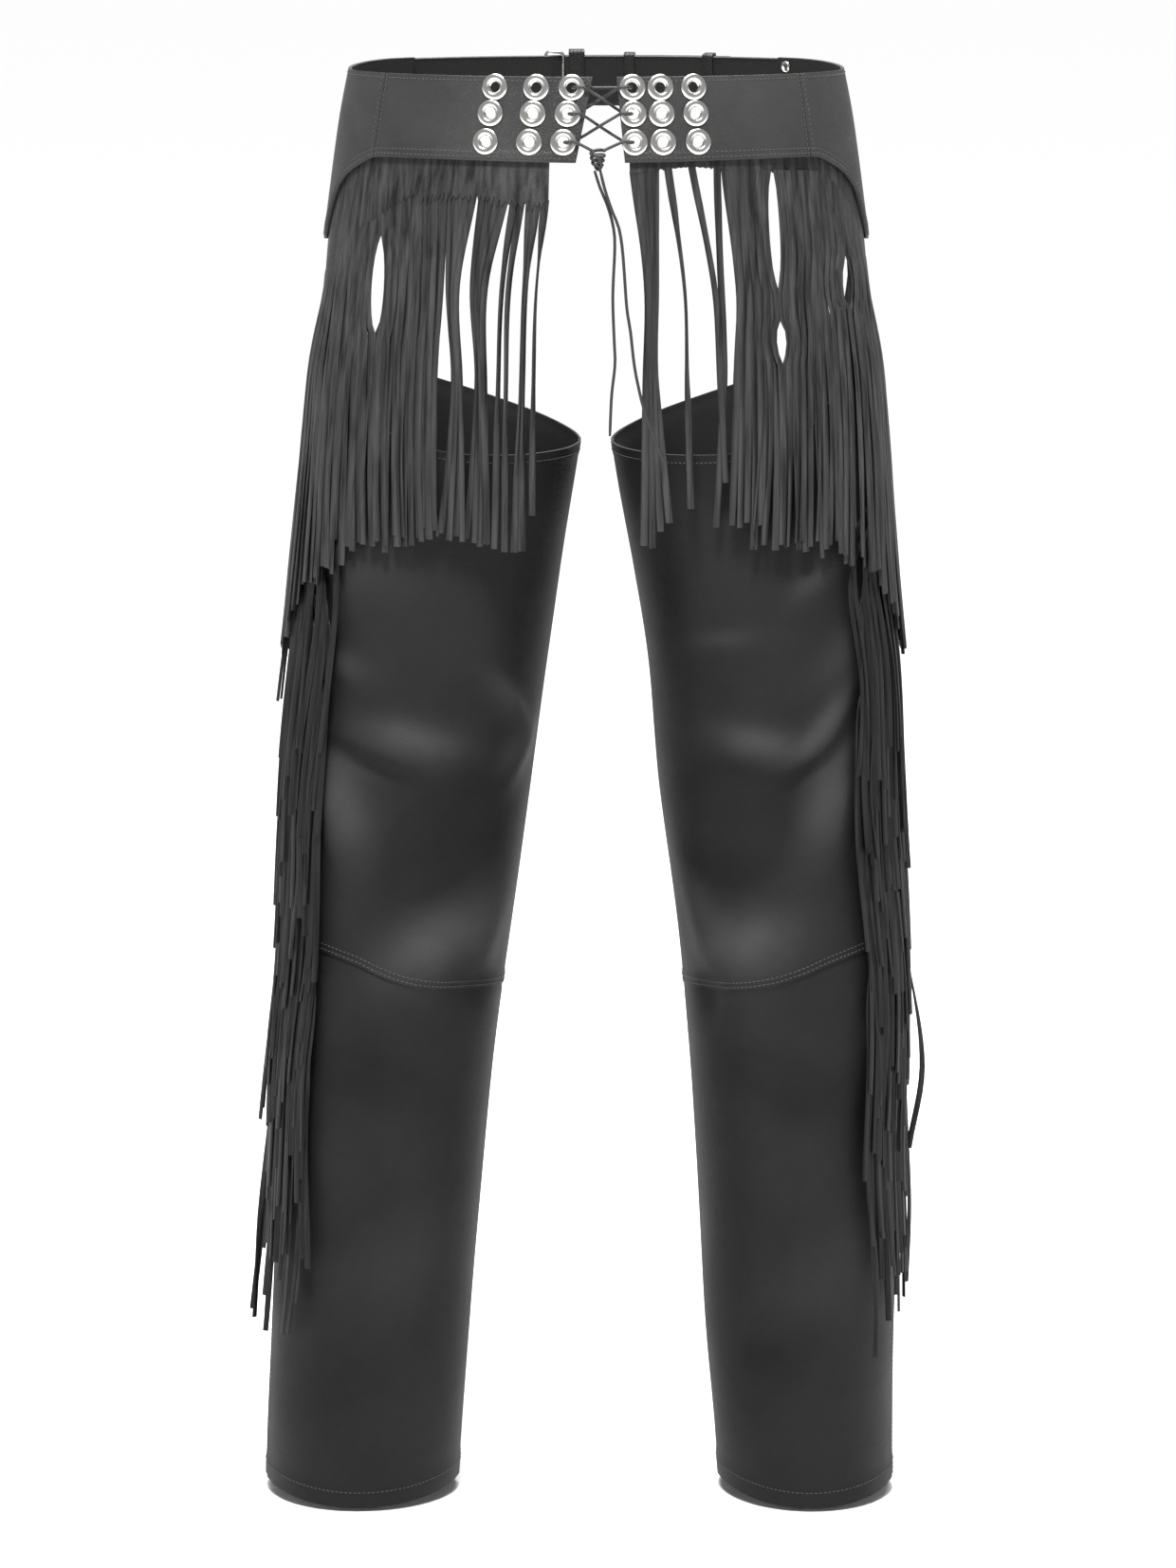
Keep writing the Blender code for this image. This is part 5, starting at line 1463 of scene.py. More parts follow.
@dataclass
class Ribbons:
    """Collects flat leather strands into one mesh.

    Each strand is a line of centres with the directions across and outwards; its section is
    slightly crowned, with the grain side outwards and the flesh side inwards.
    """

    points: list[np.ndarray] = field(default_factory=list)
    faces: list[tuple[int, ...]] = field(default_factory=list)
    flesh: list[int] = field(default_factory=list)
    total: int = 0
    section: tuple[tuple[float, float], ...] = (
        (-1.0, 0.0), (-0.84, 0.5), (-0.4, 0.5), (0.4, 0.5), (0.84, 0.5), (1.0, 0.0), (0.8, -0.5), (-0.8, -0.5),
    )

    def add(
        self,
        centres: np.ndarray,
        across: np.ndarray,
        outward: np.ndarray,
        width: np.ndarray,
        thickness: float,
        crown: np.ndarray,
    ) -> None:
        """Add one strand.

        Args:
            centres: middle line.
            across: unit directions along the width.
            outward: unit directions of the grain side.
            width: width at each centre.
            thickness: leather thickness.
            crown: how far the middle stands proud, at each centre.
        """
        count, sides = len(centres), len(self.section)
        rings = []
        for x, y in self.section:
            up = y * thickness + crown * max(0.0, 1.0 - x * x) * (1.0 if y > 0.0 else 0.8)
            rings.append(centres + across * (x * width / 2)[:, None] + outward * up[:, None])
        self.points.append(np.stack(rings, axis=1).reshape(-1, 3))
        for i in range(count - 1):
            for k in range(sides):
                m = (k + 1) % sides
                a, b = self.total + i * sides, self.total + (i + 1) * sides
                if k >= 5:
                    self.flesh.append(len(self.faces))
                self.faces.append((a + k, a + m, b + m, b + k))
        self.faces.append(tuple(self.total + k for k in range(sides))[::-1])
        self.faces.append(tuple(self.total + (count - 1) * sides + k for k in range(sides)))
        self.total += count * sides

    def piece(
        self, bench: Bench, name: str, strip: Cloth, wall: float, outside: bpy.types.Material
    ) -> bpy.types.Object:
        """Object with all strands, and the strip that they hang from.

        Args:
            bench: where it is made.
            name: piece's name.
            strip: outer face of the strip.
            wall: the strip's thickness.
            outside: finish of the grain side.

        Returns:
            The piece.
        """
        flesh = bench.wardrobe.flesh
        strands = bench.mesh(name, np.concatenate(self.points), self.faces, (outside, flesh))
        for index in self.flesh:
            strands.data.polygons[index].material_index = 1
        make_outward(strands.data)
        strands.data.set_sharp_from_angle(angle=math.radians(55.0))
        sewn = bench.shell(name + "_strip", strip, wall, outside, 0.0)
        sewn.data.materials[1], sewn.data.materials[2] = flesh, flesh
        with bpy.context.temp_override(active_object=strands, selected_editable_objects=[strands, sewn]):
            bpy.ops.object.join()
        return strands


class FrontStrand(NamedTuple):
    """Strand at the front: distances from the centre line on its way down, its trim and its twist."""

    root: float
    upper: float
    lower: float
    tip: float
    trim: float
    twist: float


class Parting(NamedTuple):
    """Opening between two strands, as angle, upper and lower height, and half width."""

    angle: float
    top: float
    bottom: float
    half: float


FRONT_STRANDS = {
    Side.LEFT: (
        FrontStrand(0.0362, 0.0430, 0.0450, 0.0464, 0.022, 84.0),
        FrontStrand(0.0419, 0.0501, 0.0524, 0.0535, -0.004, 80.0),
        FrontStrand(0.0470, 0.0511, 0.0538, 0.0592, -0.005, 66.0),
        FrontStrand(0.0529, 0.0626, 0.0646, 0.0659, -0.005, 58.0),
        FrontStrand(0.0583, 0.0673, 0.0700, 0.0727, -0.003, 62.0),
        FrontStrand(0.0645, 0.0794, 0.0801, 0.0781, 0.000, 40.0),
        FrontStrand(0.0700, 0.0821, 0.0818, 0.0835, -0.002, 30.0),
        FrontStrand(0.0755, 0.0855, 0.0835, 0.0889, 0.001, -24.0),
        FrontStrand(0.0809, 0.0879, 0.0848, 0.0943, 0.004, 34.0),
        FrontStrand(0.0867, 0.0997, 0.0977, 0.0983, 0.002, 50.0),
        FrontStrand(0.0921, 0.1017, 0.0990, 0.1024, 0.006, 36.0),
        FrontStrand(0.0975, 0.1037, 0.1004, 0.1071, 0.003, -26.0),
        FrontStrand(0.1029, 0.1051, 0.1016, 0.1118, 0.008, 22.0),
        FrontStrand(0.1080, 0.1112, 0.1148, 0.1166, 0.010, 12.0),
        FrontStrand(0.1165, 0.1206, 0.1216, 0.1230, 0.012, 8.0),
        FrontStrand(0.1320, 0.1362, 0.1382, 0.1400, 0.006, -10.0),
    ),
    Side.RIGHT: (
        FrontStrand(0.0265, 0.0367, 0.0360, 0.0346, 0.000, 20.0),
        FrontStrand(0.0318, 0.0387, 0.0383, 0.0407, -0.002, -16.0),
        FrontStrand(0.0371, 0.0407, 0.0407, 0.0461, 0.010, 24.0),
        FrontStrand(0.0416, 0.0424, 0.0427, 0.0529, 0.016, 40.0),
        FrontStrand(0.0508, 0.0630, 0.0650, 0.0674, 0.026, 76.0),
        FrontStrand(0.0677, 0.0846, 0.0893, 0.0948, 0.045, 38.0),
        FrontStrand(0.0860, 0.0893, 0.0917, 0.0880, 0.012, 30.0),
        FrontStrand(0.0914, 0.1021, 0.1008, 0.0994, 0.014, 20.0),
        FrontStrand(0.0968, 0.1055, 0.1048, 0.1048, 0.012, -18.0),
        FrontStrand(0.1022, 0.1089, 0.1089, 0.1096, 0.016, 20.0),
        FrontStrand(0.1076, 0.1129, 0.1136, 0.1150, 0.012, -14.0),
        FrontStrand(0.1120, 0.1140, 0.1160, 0.1176, 0.014, 10.0),
        FrontStrand(0.1600, 0.1655, 0.1690, 0.1730, 0.010, 12.0),
    ),
}
SIDE_ZONE_START = {Side.LEFT: 36.0, Side.RIGHT: 34.8}
PARTINGS = {
    Side.LEFT: (Parting(52.2, -0.086, -0.154, 0.0062),),
    Side.RIGHT: (
        Parting(41.2, -0.034, -0.120, 0.0054),
        Parting(41.9, -0.145, -0.172, 0.0044),
        Parting(64.5, -0.102, -0.138, 0.0066),
    ),
}
SLITS = {
    Side.LEFT: SmoothCurve((8.0, 14.0, 22.0, 32.0, 44.0, 56.0, 72.0, 88.0, 101.0),
                           (0.026, 0.026, 0.024, 0.022, 0.028, 0.046, 0.050, 0.030, 0.024)),
    Side.RIGHT: SmoothCurve((8.0, 14.0, 22.0, 32.0, 44.0, 56.0, 72.0, 88.0, 101.0),
                            (0.006, 0.004, 0.003, 0.006, 0.008, 0.010, 0.020, 0.026, 0.024)),
}


class Root(NamedTuple):
    """Start of a strand, and how it hangs."""

    angle: float
    length: float
    twist: float
    front: FrontStrand | None = None


@dataclass
class YokeFringe:
    """Strip sewn behind the yoke's lower edge, cut into long hanging strands."""

    bench: Bench
    hips: HipForm
    leg: LegForm
    end_angle: float = 101.0
    pitch: float = 0.0031
    width: float = 0.0058
    length: float = 0.255
    thickness: float = 0.0013
    tuck: float = 0.005
    forward: float = 0.012
    drift: float = 0.006
    upper_z: float = -0.120
    lower_z: float = -0.187
    sunk: float = 0.00025
    longer_at_hip: float = 0.030

    def _roots(self) -> list[Root]:
        """All strands, from the centre to the hip."""
        side = self.leg.side
        random = np.random.default_rng(SEED + side.value)
        roots = []
        for strand in FRONT_STRANDS[side]:
            angle = float(self.hips.angle_at(strand.root, YOKE_EDGE(0.0)))
            roots.append(Root(angle, self.length - strand.trim, strand.twist, strand))
        angle = SIDE_ZONE_START[side]
        while angle < self.end_angle:
            length = self.length + self.longer_at_hip * float(ease(48.0, 84.0, angle))
            roots.append(Root(angle, length + random.normal(0.0, 0.0050), random.normal(0.0, 26.0)))
            here = self.hips.point(side, angle, YOKE_EDGE(angle))
            ahead = self.hips.point(side, angle + 0.5, YOKE_EDGE(angle + 0.5))
            step = math.hypot(np.linalg.norm((ahead - here)[:2]), 0.3 * (ahead - here)[2])
            angle += 0.5 * self.pitch / step
        return roots

    def _parted(self, angle: float, one_degree: float, z: np.ndarray) -> np.ndarray:
        """Sideways move of a strand that bends round the partings."""
        move = np.zeros_like(z)
        for parting in PARTINGS[self.leg.side]:
            away = (angle - parting.angle) * one_degree
            middle, reach = (parting.top + parting.bottom) / 2, (parting.top - parting.bottom) / 2
            lens = np.sqrt(np.maximum(0.0, 1.0 - ((z - middle) / reach) ** 2))
            move += math.copysign(parting.half, away) * math.exp(-abs(away) / (3.0 * parting.half)) * lens
        return move

    def strip(self) -> Cloth:
        """Outer face of the uncut strip above the slits."""
        side = self.leg.side
        start = float(self.hips.angle_at(FRONT_STRANDS[side][0].root - 0.0026, YOKE_EDGE(0.0)))
        angle = start + (self.end_angle + 0.5 - start) * np.linspace(0.0, 1.0, 240)[None, :]
        top = YOKE_EDGE(angle) + self.tuck
        ragged = np.abs(np.sin(3.1 * angle) + 0.7 * np.sin(7.7 * angle + 1.0)) * 0.20 * SLITS[side](angle)
        bottom = YOKE_EDGE(angle) - SLITS[side](angle) - 0.0006 - ragged
        z = bottom + (top - bottom) * np.linspace(0.0, 1.0, 8)[:, None]
        return Cloth(self.hips.point(side, angle, z, FRINGE_UNDER_YOKE), side is Side.LEFT)

    def build(self) -> bpy.types.Object:
        """Make the strip and its strands.

        Returns:
            The piece.
        """
        side = self.leg.side
        random = np.random.default_rng(SEED + 7 * side.value)
        ribbons = Ribbons()
        share = np.linspace(0.0, 1.0, 32) ** 0.9
        for number, start in enumerate(self._roots()):
            angle = start.angle
            edge_z = float(YOKE_EDGE(angle))
            slit = float(SLITS[side](angle))
            low_z = edge_z - slit
            normal = self.hips.normal(side, angle, edge_z)
            across = unit(np.array((-normal[1], normal[0], 0.0))) * side.sign
            root = self.hips.point(side, angle, low_z, FRINGE_UNDER_YOKE - self.sunk - self.thickness / 2)
            fall = start.length - slit + 0.020
            drop = fall * share
            front = 1.0 - ease(20.0, 50.0, angle)
            wander = random.normal(0.0, 0.0022) * share**2.6 + random.normal(0.0, 0.0004) * np.sin(7.0 * share)
            wander = wander + 0.0020 * math.sin(angle * 0.45 + side.sign) * share
            one_degree = float(np.linalg.norm(
                self.hips.point(side, angle + 0.5, low_z) - self.hips.point(side, angle - 0.5, low_z)
            ))
            drift = self.drift * (1.0 - ease(36.0, 60.0, angle))
            sweep = side.sign * drift * ease(0.0, 0.8, share)
            turn = np.radians(start.twist) * ease(0.42, 0.85, share)
            if start.front:
                way = SmoothCurve(
                    (0.0, low_z - self.upper_z, low_z - self.lower_z, fall),
                    (start.front.root, start.front.upper, start.front.lower, start.front.tip),
                )
                sweep = side.sign * way(drop) - root[0]
                wander = wander * 0.15
                turn = np.radians(start.twist) * ease(0.02, 0.22, share) * (1.0 - 0.75 * ease(0.55, 0.85, share))
            wander = wander + self._parted(angle, one_degree, low_z - drop)
            centres = root + np.stack((sweep, self.forward * front * share, -drop), axis=1)
            centres = centres + across * wander[:, None]
            rise = 0.0014 * (number % 2) + abs(random.normal(0.0, 0.0006))
            lift = 0.0016 + 0.030 * drop + rise * ease(0.0, 0.25, share)
            centres = self.leg.clear(centres, lift, float(ease(50.0, 62.0, angle)))
            turn = turn + 0.18 * np.sin(share * 9.0 + number) * ease(0.0, 0.2, share)
            out = normal[None, :] * np.cos(turn)[:, None] - across[None, :] * np.sin(turn)[:, None]
            wide = across[None, :] * np.cos(turn)[:, None] + normal[None, :] * np.sin(turn)[:, None]
            width = self.width * (1.0 - 0.10 * ease(0.0, 0.2, share)) * (1.0 + random.normal(0.0, 0.05))
            crown = 0.0006 * ease(0.0, 0.15, share)
            ribbons.add(centres, wide, out, width, self.thickness, crown)
        outside = self.bench.wardrobe.fringe
        piece = ribbons.piece(self.bench, f"fringe_yoke_{side.label}", self.strip(), self.thickness, outside)
        return self.bench.enter(piece, "fringe_leather", f"yoke_fringe_{side.label}")


class Stray(NamedTuple):
    """Side strand that swings away from the leg: its start, angle, length, lifts and twist."""

    root_z: float
    angle: float
    length: float
    middle_lift: float
    tip_lift: float
    twist: float


STRAYS = {
    Side.LEFT: (
        Stray(-0.540, 84.0, 0.210, 0.0080, 0.0150, 30.0),
        Stray(-0.546, 86.0, 0.196, 0.0070, 0.0125, -20.0),
        Stray(-0.250, 85.0, 0.184, 0.0085, 0.0125, 20.0),
        Stray(-0.256, 84.0, 0.176, 0.0070, 0.0100, -15.0),
        Stray(-0.680, 85.0, 0.216, 0.0100, 0.0150, 80.0),
        Stray(-0.690, 84.0, 0.212, 0.0125, 0.0135, 130.0),
        Stray(-0.690, 81.0, 0.158, 0.0070, 0.0095, 40.0),
    ),
    Side.RIGHT: (
        Stray(-0.600, 84.0, 0.172, 0.0190, 0.0105, 88.0),
        Stray(-0.430, 85.0, 0.190, 0.0075, 0.0090, 30.0),
        Stray(-0.684, 84.0, 0.190, 0.0110, 0.0100, 40.0),
    ),
}


@dataclass
class SideFringe:
    """Strip on the outer seam, with strands that fall past the ones below, like shingles."""

    bench: Bench
    leg: LegForm
    top: float = -0.262
    bottom: float = -0.700
    front_angle: float = 78.0
    back_angle: float = 86.0
    strands: int = 104
    width: float = 0.0050
    length: float = 0.203
    thickness: float = 0.0011
    header_lift: float = 0.0010
    near: float = 0.005
    far: float = 0.060
    lane_radius: float = 0.092
    turn_drop: float = 0.014

    def strip(self) -> Cloth:
        """Outer face of the sewn strip."""
        side = self.leg.side
        z = np.linspace(self.bottom - 0.004, self.top, 120)[:, None]
        angle = np.linspace(self.front_angle, self.back_angle, 6)[None, :]
        return Cloth(self.leg.ring(angle, z, self.header_lift + self.thickness + 0.0 * angle), side is Side.LEFT)

    def _strand(
        self,
        ribbons: Ribbons,
        root_z: float,
        drop: np.ndarray,
        angle: np.ndarray,
        lift: np.ndarray,
        turn: np.ndarray,
        width: np.ndarray,
    ) -> None:
        """Add one strand, which leaves the strip edge-on and turns flat as it falls.

        Args:
            ribbons: where it is added.
            root_z: height at which it starts.
            drop: distance fallen, for each centre.
            angle: leg angle of each centre.
            lift: distance of each centre from the leg.
            turn: twist at each centre, in radians.
            width: width at each centre.
        """
        z = root_z - drop
        centres = self.leg.ring(angle, z, lift)
        normal = self.leg.normal(angle, z)
        level = unit(np.stack((normal[:, 1], -normal[:, 0], 0.0 * z), axis=1)) * self.leg.side.sign
        tilt = np.radians(90.0) * np.exp(-drop / 0.010)
        up = np.array((0.0, 0.0, 1.0))
        wide = -(level * np.cos(tilt)[:, None] + up * np.sin(tilt)[:, None])
        out = normal * np.cos(turn)[:, None] - wide * np.sin(turn)[:, None]
        wide = wide * np.cos(turn)[:, None] + normal * np.sin(turn)[:, None]
        crown = 0.0004 * ease(0.05, 0.2, drop / drop[-1])
        ribbons.add(centres, wide, out, width, self.thickness, crown)

    def build(self) -> bpy.types.Object:
        """Make the strip and its strands.

        Returns:
            The piece.
        """
        side = self.leg.side
        random = np.random.default_rng(SEED * 3 + side.value)
        ribbons = Ribbons()
        share = np.linspace(0.0, 1.0, 22) ** 1.35
        lanes = 12
        order = (5, 9, 1, 7, 3, 11, 0, 8, 4, 10, 2, 6)
        pitch = (self.top - self.bottom) / self.strands
        for index in range(self.strands):
            lane = order[index % lanes] / (lanes - 1)
            reach = self.far + (self.near - self.far) * lane + random.normal(0.0, 0.0018)
            root_z = self.top - (index + 0.5) * pitch
            length = self.length + random.normal(0.0, 0.012) - 0.02 * (random.random() < 0.12)
            drop = length * share
            wander = random.normal(0.0, 0.0030) * share**1.6
            wander = wander + random.normal(0.0, 0.0012) * np.sin(share * 8.0 + random.uniform(0.0, 6.0))
            wander = wander + 0.0025 * np.sin(25.0 * (root_z - drop) + 2.0 * side.sign) * ease(0.1, 0.6, share)
            ahead = reach * (1.0 - np.exp(-drop / self.turn_drop)) + wander
            lift = self.header_lift + self.thickness / 2 + 0.0034 * (1.0 - np.exp(-drop / 0.016)) + 0.026 * drop
            lift = lift + abs(random.normal(0.0, 0.0008)) * share
            angle = self.front_angle - np.degrees(ahead / self.lane_radius)
            turn = np.radians(random.normal(0.0, 24.0)) * ease(0.1, 0.8, share) + 0.10
            width = self.width * (1.0 + random.normal(0.0, 0.07)) * (1.0 - 0.1 * share)
            self._strand(ribbons, root_z, drop, angle, lift, turn, width)
        for stray in STRAYS[side]:
            drop = stray.length * share
            angle = self.front_angle + (stray.angle - self.front_angle) * ease(0.0, 0.1, share)
            way = SmoothCurve((0.0, 0.08, 0.62, 1.0), (0.0016, 0.0050, stray.middle_lift, stray.tip_lift))
            turn = np.radians(stray.twist) * ease(0.15, 0.9, share)
            self._strand(ribbons, stray.root_z, drop, angle, way(share), turn, self.width * (1.0 - 0.1 * share))
        # The darker copy of the fringe leather, with painted shade.
        outside = self.bench.wardrobe.side_fringe
        piece = ribbons.piece(self.bench, f"fringe_side_{side.label}", self.strip(), self.thickness, outside)
        return self.bench.enter(piece, "fringe_leather", f"side_fringe_{side.label}")


# Lace

KNOT_CENTRE = np.array((0.0010, -0.1295, -0.0275))
LONG_TAIL = (
    (0.0028, -0.1305, -0.0352), (0.0062, -0.1320, -0.0490), (0.0112, -0.1330, -0.0637),
    (0.0158, -0.1335, -0.0750), (0.0182, -0.1345, -0.0880), (0.0197, -0.1355, -0.1047),
    (0.0217, -0.1365, -0.1323), (0.0244, -0.1375, -0.1497), (0.0271, -0.1380, -0.1733),
    (0.0311, -0.1380, -0.1934), (0.0345, -0.1375, -0.2060), (0.0411, -0.1355, -0.2250),
    (0.0488, -0.1320, -0.2440),
)
SHORT_TAIL = (
    (-0.0012, -0.1286, -0.0356), (0.0028, -0.1278, -0.0480), (0.0078, -0.1273, -0.0600),
    (0.0118, -0.1270, -0.0740), (0.0132, -0.1268, -0.0893), (0.0118, -0.1265, -0.1250),
    (0.0128, -0.1260, -0.1565), (0.0134, -0.1255, -0.1733), (0.0112, -0.1250, -0.1934),
    (0.0104, -0.1245, -0.2075), (0.0098, -0.1240, -0.2250),
)


@dataclass
class Lace:
    """Round leather lace: criss-cross through six grommets, a knot and two hanging tails."""

    bench: Bench
    hips: HipForm
    diameter: float = 0.0022
    hole: float = 0.0040
    over: float = 0.0043
    under: float = 0.0030
    past_edge: float = 0.0027
    edge_gap: float = 0.0016
    crossing_lift: float = 0.0024
    tail_step: float = 0.0062

    def tails(self) -> None:
        for name, route in (("long", LONG_TAIL), ("short", SHORT_TAIL)):
            points = smooth_path(route, self.tail_step)
            tail = self.bench.tube(f"lace_{name}", points, self.diameter, self.bench.wardrobe.lace, ends=0.8)
            self.bench.enter(tail, "lace", f"lace_tail_{name}")

    def _at(self, side: Side, x: float, z: float, lift: float) -> np.ndarray:
        """Place x from the centre line, lift above the yoke's middle layer."""
        return self.hips.point(side, self.hips.angle_at(abs(x), z), z, lift)

    def _through(self, side: Side, row: int) -> list[np.ndarray]:
        """Lace from the front of a half, through its inner grommet, to behind it."""
        column = 2 if side is Side.LEFT else 0
        place = ring_places(side, self.hips)[3 * row + column]
        x, z, radius = abs(place.centre[0]), GROMMET_ROWS[row], self.diameter / 2
        return [
            self._at(side, x - self.hole - 2 * self.diameter, z, self.over),
            self._at(side, x - self.hole, z, self.over),
            self._at(side, x - 1.5 * radius, z, YOKE_FACE + radius),
            self._at(side, x - 0.8 * radius, z, 0.0),
            self._at(side, x - 1.5 * radius, z, -YOKE_FACE - radius),
            self._at(side, x - self.hole - radius, z, -self.under),
        ]

    def _cross(self, start: np.ndarray, end: np.ndarray, lift: float) -> list[np.ndarray]:
        """Crossing between two rows, past both centre edges.

        Args:
            start: where the lace leaves one half.
            end: where it reaches the other half.
            lift: how far its middle stands in front.

        Returns:
            Three places on the way.
        """
        places = []
        for place in (start, end):
            side = Side.LEFT if place[0] < 0.0 else Side.RIGHT
            share = 0.0
            for _ in range(4):
                z = place[2] + (start[2] + end[2] - 2.0 * place[2]) * share
                x = side.sign * (flap_edge_x(side, z) - self.edge_gap)
                share = (x - place[0]) / (start[0] + end[0] - 2.0 * place[0])
            size = math.hypot(place[0] / self.hips.width(place[2]), place[1] / self.hips.depth(place[2]))
            places.append(self._at(side, x, float(z), self.past_edge if size > 1.0 else -self.past_edge))
        middle = (places[0] + places[1]) / 2
        side = Side.LEFT if middle[0] < 0.0 else Side.RIGHT
        return [places[0], self._at(side, middle[0], middle[2], lift), places[1]]

    def crossing(self) -> None:
        """Make the criss-cross part."""
        left = [self._through(Side.LEFT, row) for row in range(3)]
        right = [self._through(Side.RIGHT, row) for row in range(3)]
        route = [KNOT_CENTRE + np.array((-0.0038, 0.0006, 0.0060))]
        route += left[2] + self._cross(left[2][-1], right[1][0], self.crossing_lift)
        route += right[1] + self._cross(right[1][-1], left[0][0], self.crossing_lift)
        route += left[0] + right[0][::-1] + self._cross(right[0][0], left[1][-1], -self.crossing_lift)
        route += left[1][::-1] + self._cross(left[1][0], right[2][-1], -self.crossing_lift)
        route += right[2][::-1] + [KNOT_CENTRE + np.array((0.0038, 0.0006, 0.0060))]
        lace = self.bench.tube(
            "lace_through_rings", smooth_path(route, 0.0012), self.diameter, self.bench.wardrobe.lace, ends=1.0
        )
        self.bench.enter(lace, "lace", "lace_crossing")

    def knot(self) -> None:
        """Make the knot: the lace wrapped round itself, drawn tight and narrower below."""
        turn = np.linspace(0.0, 2.0 * math.pi * 3.6, 90)
        down = np.linspace(1.0, -1.0, 90)
        narrow = 0.0027 + 0.0016 * ease(-1.0, 0.6, down)
        x = narrow * np.cos(turn) * 1.1
        y = narrow * np.sin(turn) * 0.75
        z = 0.0060 * down + 0.0012 * np.sin(turn)
        wraps = KNOT_CENTRE + np.stack((x, y, z), axis=1)
        over = KNOT_CENTRE + np.array((
            (-0.0036, -0.0004, 0.0050), (-0.0022, -0.0042, 0.0036), (0.0008, -0.0050, 0.0006),
            (0.0026, -0.0040, -0.0030), (0.0020, -0.0012, -0.0060), (0.0000, 0.0000, -0.0072),
        ))
        route = np.concatenate((wraps[:-6], over[::-1]))
        knot = self.bench.tube(
            "lace_knot_wraps", smooth_path(route, 0.0008), self.diameter * 1.12, self.bench.wardrobe.lace, ends=0.9
        )
        self.bench.enter(knot, "lace", "lace_knot")


# Belt


class Loop(NamedTuple):
    """Keeper: its place along the belt, its width and how far it rises."""

    name: str
    x: float
    width: float
    rise: float


KEEPERS = (
    Loop("keeper_1", -0.0145, 0.0115, 0.0040),
    Loop("keeper_2", 0.0245, 0.0080, 0.0018),
    Loop("keeper_3", 0.0830, 0.0080, 0.0018),
)


